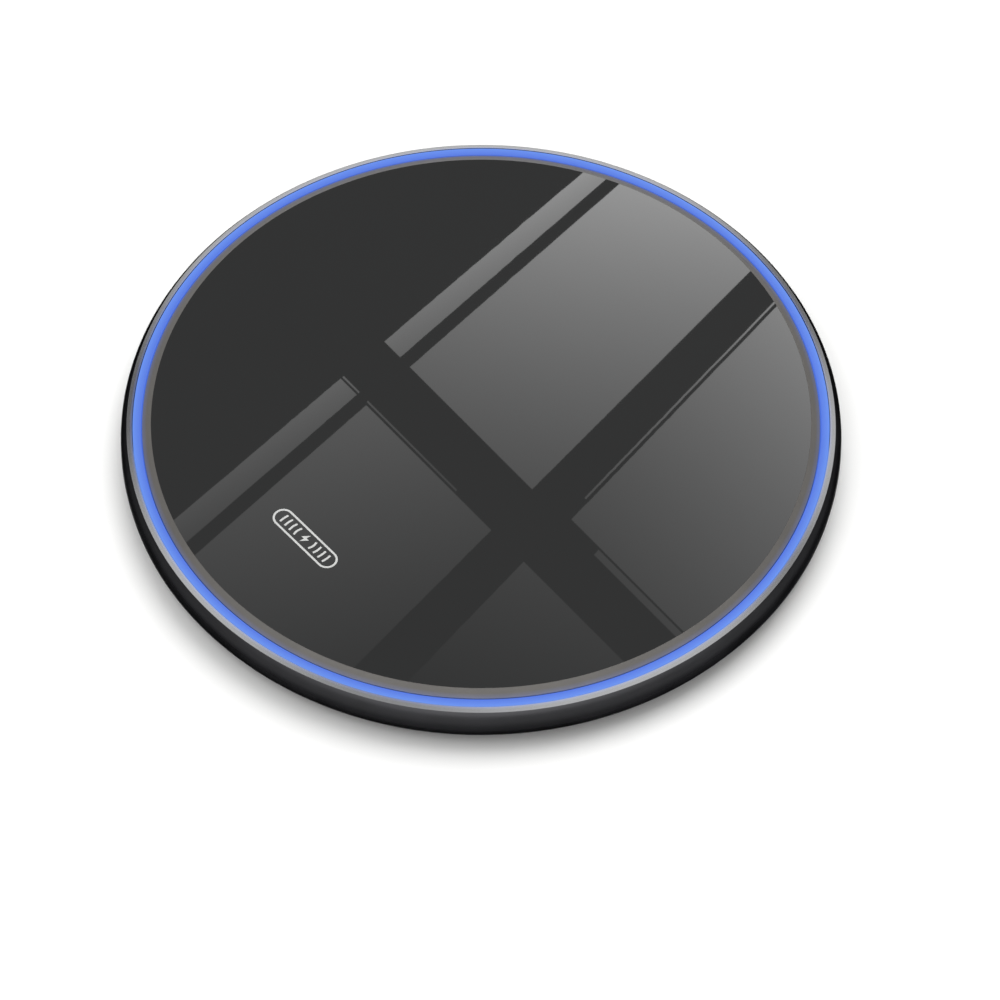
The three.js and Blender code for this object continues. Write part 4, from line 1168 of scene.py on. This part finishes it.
def crystal():
    """A ceramic tray with a welded lid."""
    out, sideways, height = seat("crystal")[3]
    tray = block((out, sideways, 0.6 * height), 0.2 * MM, 0.04 * MM, band=1)
    lid = block((out - 0.3 * MM, sideways - 0.3 * MM, 0.4 * height), 0.4 * MM, 0.08 * MM)
    some = at_seat(joined([tray, moved(lid, z=0.6 * height)]), "crystal")
    finish_piece(make_piece("crystal_body", some, "crystal_can", "chip_resin"), "crystal_can", "crystal")


def lights():
    """Side-looking lights: a white housing, two tinned feet, and a lens that faces the guide's skirt."""
    for i in range(1, 9):
        node = f"led_{i}"
        out, sideways, height = seat(node)[3]
        housing = block((out - 0.1 * MM, sideways, height), 0.1 * MM, 0.05 * MM)
        lens = block((0.12 * MM, 0.66 * sideways, 0.6 * height), 0.05 * MM, 0.03 * MM, band=2)
        foot = block((out - 0.2 * MM, 0.4 * MM, 0.16 * MM), 0.04 * MM, 0.03 * MM, band=1)
        parts = [moved(housing, x=-0.05 * MM), moved(lens, x=out / 2 - 0.06 * MM, z=0.2 * height)]
        parts += [moved(foot, x=0.02 * MM, y=side * (sideways / 2 - 0.17 * MM)) for side in (-1, 1)]
        some = at_seat(joined(parts), node)
        finish_piece(make_piece(f"{node}_body", some, "led", "tin", "lens"), "led", node)


def thermal_pad():
    """Soft pad between the base and the board under the controller."""
    size = seat("thermal_pad")[3]
    some = at_seat(block(size, 0.6 * MM, 0.12 * MM, steps=5), "thermal_pad")
    finish_piece(make_piece("gap_pad", some, "thermal_pad"), "thermal_pad", "thermal_pad")


for make in (rim_frame, glass_panel, light_ring, panel_tape, inner_cover, base_cover, antislip_ring, screws,
             printed_mark, port_shell, port_tongue, charging_coil, coil_leads, ferrite_and_tape, thermistor,
             circuit_board, tracks, chips, crystal, lights, thermal_pad):
    make()
capped_part("sense_resistor", "resistor", 0.6 * MM, "alumina", "resistor", across=True)
for i in range(1, 7):
    capped_part(f"chip_resistor_{i}", "resistor", 0.3 * MM, "alumina", "resistor")
    capped_part(f"chip_capacitor_{i}", "capacitor", 0.35 * MM, "capacitor")
for node in [f"resonant_capacitor_{i}" for i in range(1, 5)] + ["input_capacitor_1", "input_capacitor_2"]:
    capped_part(node, "capacitor", 0.6 * MM, "capacitor")

# A hidden CAD node has the finish of its slot too
for subpart in frame["record"]["subparts"]:
    mesh = frame["nodes"][subpart["node"]].data
    mesh.materials.clear()
    mesh.materials.append(materials[subpart["material_slot"]])

# ---------------------------------------------------------------------------------------------
# Camera, floor and light
# ---------------------------------------------------------------------------------------------

right = Vector((math.cos(AZIMUTH), math.sin(AZIMUTH), 0))
away = Vector((-math.sin(AZIMUTH), math.cos(AZIMUTH), 0))
back = -away * math.cos(ELEVATION) + Vector((0, 0, math.sin(ELEVATION)))
up = back.cross(right)
middle = Vector((0, 0, guide_top))


def eye_point():
    """Where the camera stands."""
    return middle + right * AIM_RIGHT - up * AIM_DOWN + back * CAMERA_DISTANCE


def add_camera():
    """A camera that looks down on the pad, with the pad a little left of the view's middle and above it."""
    camera = bpy.data.objects.new("camera", bpy.data.cameras.new("camera"))
    bpy.context.scene.collection.objects.link(camera)
    camera.location = eye_point()
    camera.rotation_mode = "QUATERNION"
    camera.rotation_quaternion = (-back).to_track_quat("-Z", "Y")
    camera.data.sensor_width = 36
    camera.data.lens = 36 * CAMERA_DISTANCE / FIELD_WIDTH
    camera.data.clip_start, camera.data.clip_end = 0.05, 50
    bpy.context.scene.camera = camera


def add_floor():
    """A wide pale floor with a faint mottle, so that it isn't one flat tone."""
    material = mottled("pale_floor", "f3f3f2", "f6f6f5", 0.7, 60, 0.5, 0.002)
    half = 4.0
    corners = [(x, y, 0) for x, y in rectangle(-half, half, -half, half)]
    floor = make_piece("floor", shell(corners, [(0, 1, 2, 3)]))
    floor.data.materials.append(material)


def add_light(name, direction, distance, size, power):
    """A round soft light that faces the pad. The gloss on the pad comes from the cards instead."""
    data = bpy.data.lights.new(name, "AREA")
    data.shape = "DISK"
    data.size = size
    data.energy = power
    light = bpy.data.objects.new(name, data)
    bpy.context.scene.collection.objects.link(light)
    light.visible_glossy = False
    light.location = direction.normalized() * distance
    light.rotation_mode = "QUATERNION"
    light.rotation_quaternion = (-direction).to_track_quat("-Z", "Y")


ROOM_LIGHT = 0.63  # how bright the even room is


def add_room():
    """An even pale room all round."""
    world = bpy.data.worlds.new("room")
    world.use_nodes = True
    background = world.node_tree.nodes["Background"]
    background.inputs["Color"].default_value = (1.0, 1.0, 1.0, 1)
    background.inputs["Strength"].default_value = ROOM_LIGHT
    bpy.context.scene.world = world


def add_card(name, points, glow):
    """A glowing surface that only shows in gloss: a grid of points, each with its own brightness."""
    rows, columns = glow.shape
    index = np.arange(rows * columns).reshape(rows, columns)
    quads = np.stack([index[:-1, :-1], index[1:, :-1], index[1:, 1:], index[:-1, 1:]], axis=-1)
    card = make_piece(name, shell(points, quads.reshape(-1, 4)))
    card.data.attributes.new("glow", "FLOAT", "POINT").data.foreach_set("value", glow.ravel())
    white, black = linear("ffffff"), linear("000000")
    material = new_material(name, Base_Color=black, Specular_IOR_Level=0.0, Emission_Color=white)
    brightness = add_node(material, "ShaderNodeAttribute", output="Fac", attribute_name="glow")
    shade(material, Emission_Strength=brightness)
    card.data.materials.append(material)
    card.visible_camera = False
    card.visible_diffuse = False
    card.visible_shadow = False


# The room's window, mirrored in the glass. Lengths are mm at the glass, square to the line of sight: p runs
# down to the right and q down to the left, from the middle of the pad.
WINDOW_DEPTH = 0.8  # from the pad to the window, along the mirrored line of sight
WINDOW_DROP = 0.75 * MM  # from the pad's middle down to where p and q are 0
WINDOW_SPREAD = 0.0028  # how fast the bars fan out with q
WINDOW_STRAIGHT = 11.1  # the bar across that stays straight
# name: p from, p to, q from, q to, brightness in the middle, falls with p and with q
PANES = {
    "top_strip": (-17.8, -14.7, -60, 1.1, 1.01, 0.066, 0.0193),
    "top_pane": (-12.8, 11.1, -60, 1.1, 2.12, 0.016, 0.0254),
    "right_slit": (17.1, 17.4, -60, -3.2, 1.45, 0.002, 0.031),
    "right_pane": (17.9, 60, -60, 0.2, 1.45, 0.002, 0.031),
    "right_edge_slit": (23.5, 60, 0.5, 1.45, 1.3, 0.002, 0.031),
    "left_strip": (-17.8, -14.7, 9.0, 60, 0.86, 0.072, 0.0168),
    "left_strip_slit": (-17.8, -14.7, 8.45, 8.7, 0.86, 0.072, 0.0168),
    "left_slit": (-13.1, 4.0, 8.5, 8.75, 1.5, 0.023, 0.015),
    "left_pane": (-12.8, 11.1, 9.1, 60, 1.79, 0.023, 0.015),
    "lower_pane": (17.2, 60, 9.0, 60, 1.72, 0.0118, 0.022),
}


def behind_glass(p, q):
    """The points that the camera sees mirrored in the glass at each (p, q): from the eye through the glass,
    and on by the window's depth, with the height turned over about the glass."""
    p = p + WINDOW_SPREAD * (p - WINDOW_STRAIGHT) * q
    x, y = (p - q) / math.sqrt(2) * MM, -(p + q) / math.sqrt(2) * MM - WINDOW_DROP
    on_glass = np.array(middle) + np.outer(x, right) + np.outer(y, up)
    eye = np.array(eye_point())
    seen = eye + (on_glass - eye) * (CAMERA_DISTANCE + WINDOW_DEPTH) / CAMERA_DISTANCE
    seen[:, 2] = 2 * (high("glass_panel").z - FILM) - seen[:, 2]
    return seen


def add_window():
    """The panes, as cards. Each one's brightness falls away evenly, by a share for each mm of p and q."""
    for name, (p0, p1, q0, q1, bright, fall_p, fall_q) in PANES.items():
        p, q = np.meshgrid(np.linspace(p0, p1, 12), np.linspace(q0, q1, 12), indexing="ij")
        add_card(name, behind_glass(p.ravel(), q.ravel()), bright * np.exp(-fall_p * p - fall_q * q))


# Brighter and darker parts of the room, which show in the chamfer and on the frame's shoulder. Degrees:
# azimuth from the view's right hand towards its far side, and elevation. Each fades out to the room.
ROOM_PATCHES = {
    "front_strip": (-172, -8, 12, 56, 7.5),
    "left_shade": (108, 154, 16, 52, 0.0),
    "near_right_shade": (12, 40, 40, 64, 0.0),
    "far_right_shade": (48, 74, 10, 38, 0.0),
    "ceiling": (-250, -50, 62, 90, 0.2),
}
PATCH_DISTANCE = 2.5


def add_patches():
    """Each patch is part of a sphere round the pad. Its brightness blends from the room's at its edges to
    its own in the middle, as a half sine both ways."""
    for name, (az0, az1, el0, el1, bright) in ROOM_PATCHES.items():
        steps = np.linspace(az0, az1, 48), np.linspace(el0, el1, 24)
        azimuth, elevation = np.meshgrid(*steps, indexing="ij")
        across = np.sin(np.pi * (azimuth - az0) / (az1 - az0))
        weight = across * np.sin(np.pi * (elevation - el0) / (el1 - el0))
        a, e = np.radians(azimuth)[..., None], np.radians(elevation)[..., None]
        flat = np.cos(a) * np.array(right) + np.sin(a) * np.array(away)
        points = PATCH_DISTANCE * (np.cos(e) * flat + np.sin(e) * np.array([0, 0, 1]))
        add_card(name, points.reshape(-1, 3), ROOM_LIGHT + (bright - ROOM_LIGHT) * weight)


add_camera()
add_floor()
add_room()
add_window()
add_patches()
add_light("key", right * 0.3 + away * 0.65 + Vector((0, 0, 1.35)), 1.4, 1.3, 14.0)
add_light("fill", right * -0.8 + Vector((0, 0, 1.2)), 1.4, 1.2, 5.0)
bpy.context.scene.view_settings.view_transform = "Standard"
